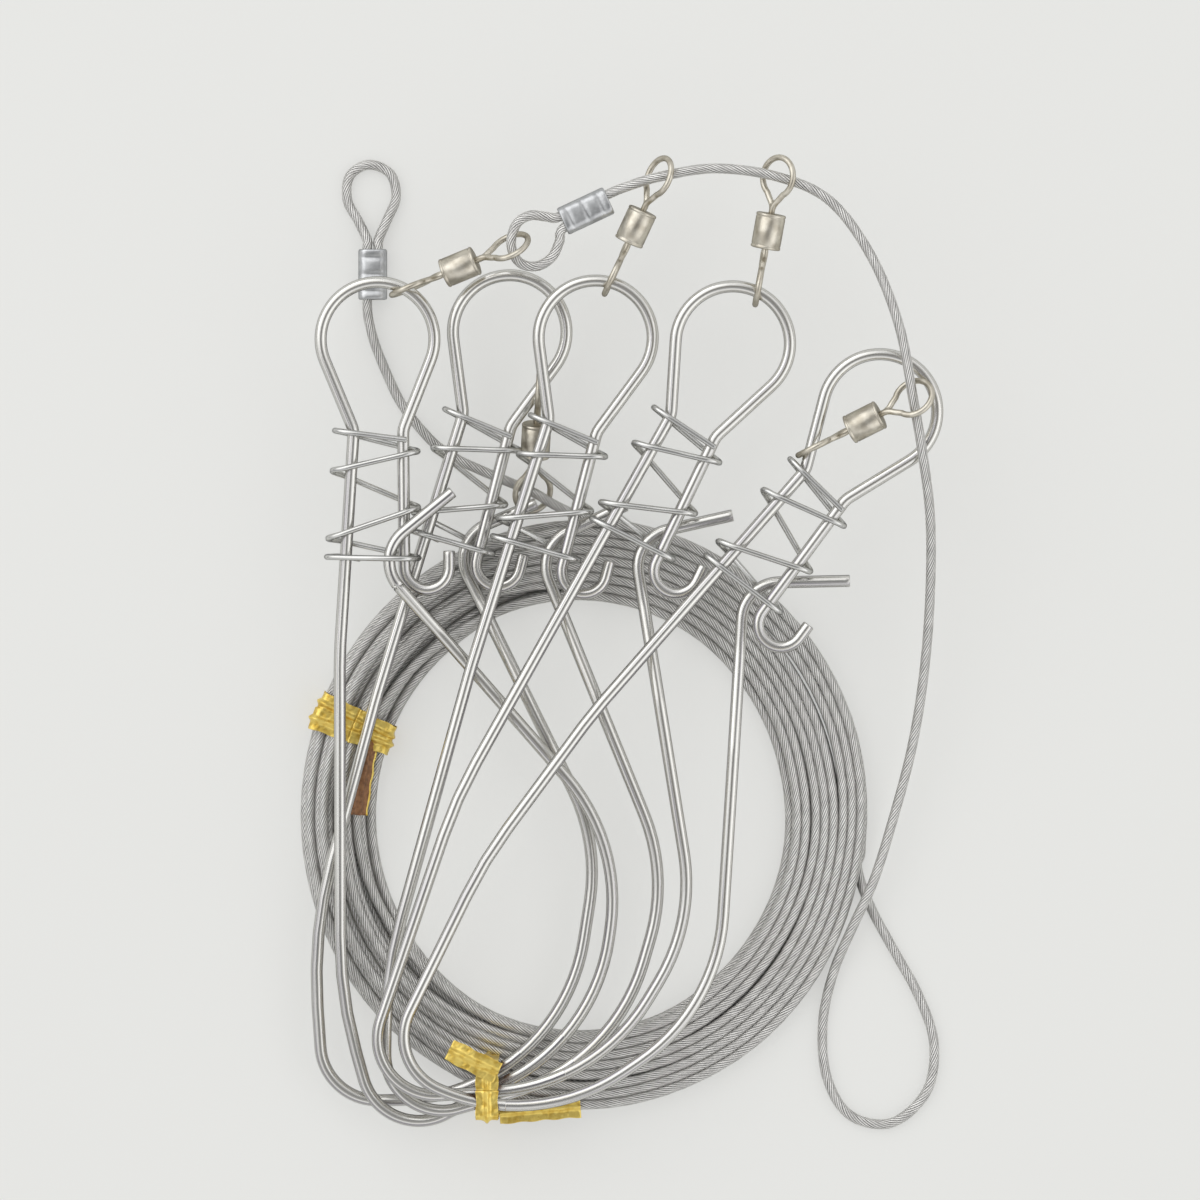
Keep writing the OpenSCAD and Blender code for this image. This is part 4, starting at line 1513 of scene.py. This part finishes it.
@dataclass
class FishStringer:
    """The whole set as packed."""

    finishes: Finishes
    pile: Pile = field(default_factory=Pile)
    coil_tie_at: float = 159.0
    pile_tie_share: tuple[float, float] = (-0.324, -0.958)

    def hooks(self) -> list[SnapHook]:
        """Returns the hooks from left to right.

        Returns:
            The five hooks.
        """
        above, below = GateSide.ABOVE, GateSide.BELOW
        # Top of the neck, direction, plane, corners of the big loop, where the gate starts, end of the
        # stub, ramp up to the latch, and the side on which the gate passes.
        rows = [
            ((-0.706, 1.361), 90.5, 1,
             ((-0.056, -0.306), (-0.060, -0.772), (-0.004, -0.983), (0.289, -0.828), (0.328, -0.565)),
             0.35, (1.5, -0.45), (0.28, 0.74), above),
            ((-0.326, 1.396), 75.5, 0,
             ((-0.052, -0.405), (-0.056, -0.741), (0.017, -0.961), (0.328, -0.875), (0.293, -0.522)),
             0.5, (1.4, -0.5), (0.48, 1.2), below),
            ((-0.024, 1.376), 75.5, 2,
             ((-0.052, -0.353), (-0.060, -0.784), (-0.009, -0.996), (0.272, -0.828), (0.280, -0.560)),
             0.35, (1.45, -0.46), (0.48, 1.2), below),
            ((0.397, 1.376), 64.5, 3,
             ((-0.052, -0.280), (-0.073, -0.595), (-0.022, -1.030), (0.267, -0.866), (0.293, -0.608)),
             0.35, (1.5, -0.46), (0.48, 1.2), below),
            ((0.856, 1.171), 53.5, 4,
             ((-0.069, -0.435), (-0.069, -0.685), (-0.013, -0.991), (0.207, -0.940), (0.306, -0.659)),
             0.35, (1.56, -0.45), (0.48, 1.2), below),
        ]
        return [SnapHook(n + 1, self.pile, self.finishes, *row) for n, row in enumerate(rows)]

    def swivels(self, hooks: list[SnapHook]) -> list[BarrelSwivel]:
        """Returns the swivel of each hook.

        Args:
            hooks: The hooks, in the same order.

        Returns:
            The five swivels.
        """
        # Angle of its seat on the eye, or its place up the neck and the side; aim, height, play and tilt.
        rows = [
            (60, 0, 1, 22, 14.4, 0.8, 58), (None, 6.9, 1, -93.5, 3.9, 0, 28), (90, 0, 1, 65, 16.6, 1.1, 56),
            (90, 0, 1, 80, 18.5, 1.1, 42), (None, 3.2, -1, 26.5, 20.9, 0.9, 38),
        ]
        return [BarrelSwivel(hook, *row) for hook, row in zip(hooks, rows)]

    def coil_tie(self, cable: Cable) -> TwistTie:
        """Returns the tie whose two wraps draw the coil's turns into a bunch.

        Args:
            cable: The cable whose turns it draws in.

        Returns:
            The tie.
        """
        p = self.pile
        a, oval = math.radians(self.coil_tie_at), p.coil_oval
        stretch = math.hypot(math.cos(a), oval * math.sin(a))
        band = p.cable_d + max(row for row, _ in cable.bunch_rows) * cable.bunch_pitch
        edge = p.coil_r + cable.spread - cable.pinch
        outer, inner = edge * stretch + 0.1, (edge - band) * stretch - 0.1
        top = float(cable.layers[2]) + p.cable_d / 2 + 0.06
        tail = ((inner + 3.0, 1.3, top + 0.85), (inner + 1.7, 7.0, top + 0.8), (inner + 0.2, 13.0, top + 0.5))
        heading = math.degrees(math.atan2(oval * math.sin(a), math.cos(a)))
        return TwistTie("coil_tie", p, self.finishes, p.coil_centre, heading, inner, outer, top,
                        (Wrap(-1.5, -0.5), Wrap(1.35, 0.75, 0.26)), (Tail(tail, StripFace.BACKING, 36.0),))

    def pile_tie(self) -> TwistTie:
        """Returns the tie that goes round the feet of the hooks and the coil.

        Returns:
            The tie.
        """
        p = self.pile
        place_at = tuple(c + share * p.coil_r for c, share in zip(p.coil_centre, self.pile_tie_share))
        top = float(p.on_coil(np.array([0, place_at[1], 4 * p.pitch + p.wire_d / 2]))[0, 2]) + 0.5
        high, low = top + 0.73, p.coil_top + 0.1
        tails = (
            Tail(((-3.15, 1.75, high), (-5.0, -2.1, high + 0.25), (-6.9, -5.9, high - 0.2))),
            Tail(((4.2, 1.77, low), (3.6, 8.2, low + 0.25), (3.1, 14.7, low))),
        )
        return TwistTie("pile_tie", p, self.finishes, place_at, 270.0, -4.9, 4.2, top, (Wrap(),), tails)

    def build(self) -> None:
        """Builds every sub-assembly and reports its pieces."""
        hooks, cable = self.hooks(), Cable(self.pile, self.finishes)
        for assembly in (cable, *hooks, *self.swivels(hooks), self.coil_tie(cable), self.pile_tie()):
            for piece in assembly.build():
                LOG.info("%s: %s, %d faces", type(assembly).__name__, piece.name, len(piece.data.polygons))


# The studio.


@dataclass(frozen=True)
class Lamp:
    """A square soft lamp: its place and side in metres and its power in watts."""

    name: str
    at: tuple[float, float, float]
    side: float
    power: float


@dataclass
class Studio:
    """Camera, floor and light; the surround is given as height on its sphere and brightness."""

    frame_mm: float = 192.0
    lens: float = 180.0
    sensor: float = 36.0
    centre: tuple[float, float] = Pile.shift[:2]
    half_floor: float = 3.0
    floor_drop: float = 0.02
    floor_tone: tuple[float, float, float] = (0.84, 0.845, 0.82)
    floor_cloud: float = 0.985
    glow_tone: tuple[float, float, float] = (0.81, 0.81, 0.79)
    glow_share: float = 0.6
    surround: tuple = ((0.0, 0.44), (0.22, 0.58), (0.48, 1.0), (0.70, 0.84), (0.87, 0.40), (1.0, 0.22))
    lamps: tuple[Lamp, ...] = (
        Lamp("window", (-0.55, 0.50, 0.80), 1.3, 4.6), Lamp("fill", (0.8, -0.3, 0.7), 1.2, 2.0))

    def camera(self) -> None:
        """Sets the camera straight above the middle of the photographed frame."""
        data = bpy.data.cameras.new("camera")
        data.lens, data.sensor_width, data.sensor_height = self.lens, self.sensor, self.sensor
        data.clip_start, data.clip_end = 0.01, 10.0
        made = bpy.data.objects.new("camera", data)
        distance = self.frame_mm * self.lens / self.sensor
        made.location = [place_at * MM for place_at in (*self.centre, distance)]
        bpy.context.scene.collection.objects.link(made)
        bpy.context.scene.camera = made

    def floor(self) -> None:
        """Lays a plain pale sheet under the set."""
        nodes, tone, half = Nodes("floor"), self.floor_tone, self.half_floor / MM
        dim = tuple(c * self.floor_cloud for c in tone)
        nodes.set(Base_Color=nodes.ramp(nodes.noise(9.0, 3.0), [(0.3, dim), (0.7, tone)]), Roughness=0.85)
        self.lighten(nodes)
        corners = np.array([[-half, -half, 0], [half, -half, 0], [half, half, 0], [-half, half, 0]])
        corners = corners - [0, 0, self.floor_drop]
        make_object("floor", corners, [[0, 1, 2, 3]], None, nodes.material)

    def lighten(self, nodes: Nodes) -> None:
        """Lets the sheet glow a little towards the camera, so that the set's shadows stay pale on it.

        Args:
            nodes: The sheet's material.
        """
        glow, blend = nodes.add("ShaderNodeEmission"), nodes.add("ShaderNodeMixShader")
        seen = nodes.add("ShaderNodeLightPath").outputs["Is Camera Ray"]
        nodes.put((*self.glow_tone, 1.0), glow.inputs["Color"])
        nodes.put(nodes.math("MULTIPLY", seen, self.glow_share), blend.inputs[0])
        nodes.put(nodes.shader.outputs["BSDF"], blend.inputs[1])
        nodes.put(glow.outputs["Emission"], blend.inputs[2])
        nodes.put(blend.outputs["Shader"], nodes.tree.nodes["Material Output"].inputs["Surface"])

    def hang(self, lamp: Lamp) -> None:
        """Hangs one soft lamp that faces the set.

        Args:
            lamp: The lamp.
        """
        data = bpy.data.lights.new(lamp.name, "AREA")
        data.shape, data.size, data.size_y, data.energy = "RECTANGLE", lamp.side, lamp.side, lamp.power
        made = bpy.data.objects.new(lamp.name, data)
        made.location, made.rotation_mode = lamp.at, "QUATERNION"
        made.rotation_quaternion = mathutils.Vector(-unit(np.array(lamp.at))).to_track_quat("-Z", "Y")
        bpy.context.scene.collection.objects.link(made)

    def world(self) -> None:
        """Sets a soft surround that is darker overhead, as in a light tent with a camera hole."""
        world = bpy.data.worlds.new("surround")
        bpy.context.scene.world = world
        world.use_nodes = True
        nodes, links = world.node_tree.nodes, world.node_tree.links
        places, split = nodes.new("ShaderNodeTexCoord"), nodes.new("ShaderNodeSeparateXYZ")
        ramp, background = nodes.new("ShaderNodeValToRGB"), nodes["Background"]
        links.new(places.outputs["Generated"], split.inputs["Vector"])
        links.new(split.outputs["Z"], ramp.inputs["Fac"])
        links.new(ramp.outputs["Color"], background.inputs["Color"])
        fill_ramp(ramp.color_ramp, [(height, (grey, grey, grey)) for height, grey in self.surround])
        background.inputs["Strength"].default_value = 1.0

    def build(self) -> None:
        """Sets the whole studio up."""
        self.camera()
        self.floor()
        self.world()
        for lamp in self.lamps:
            self.hang(lamp)
        bpy.context.scene.view_settings.view_transform = "Standard"


def main() -> None:
    """Loads the frame, builds the studio and the set."""
    logging.basicConfig(level=logging.INFO, format="%(name)s %(message)s")
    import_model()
    Studio().build()
    FishStringer(Finishes()).build()


if __name__ == "__main__":
    main()
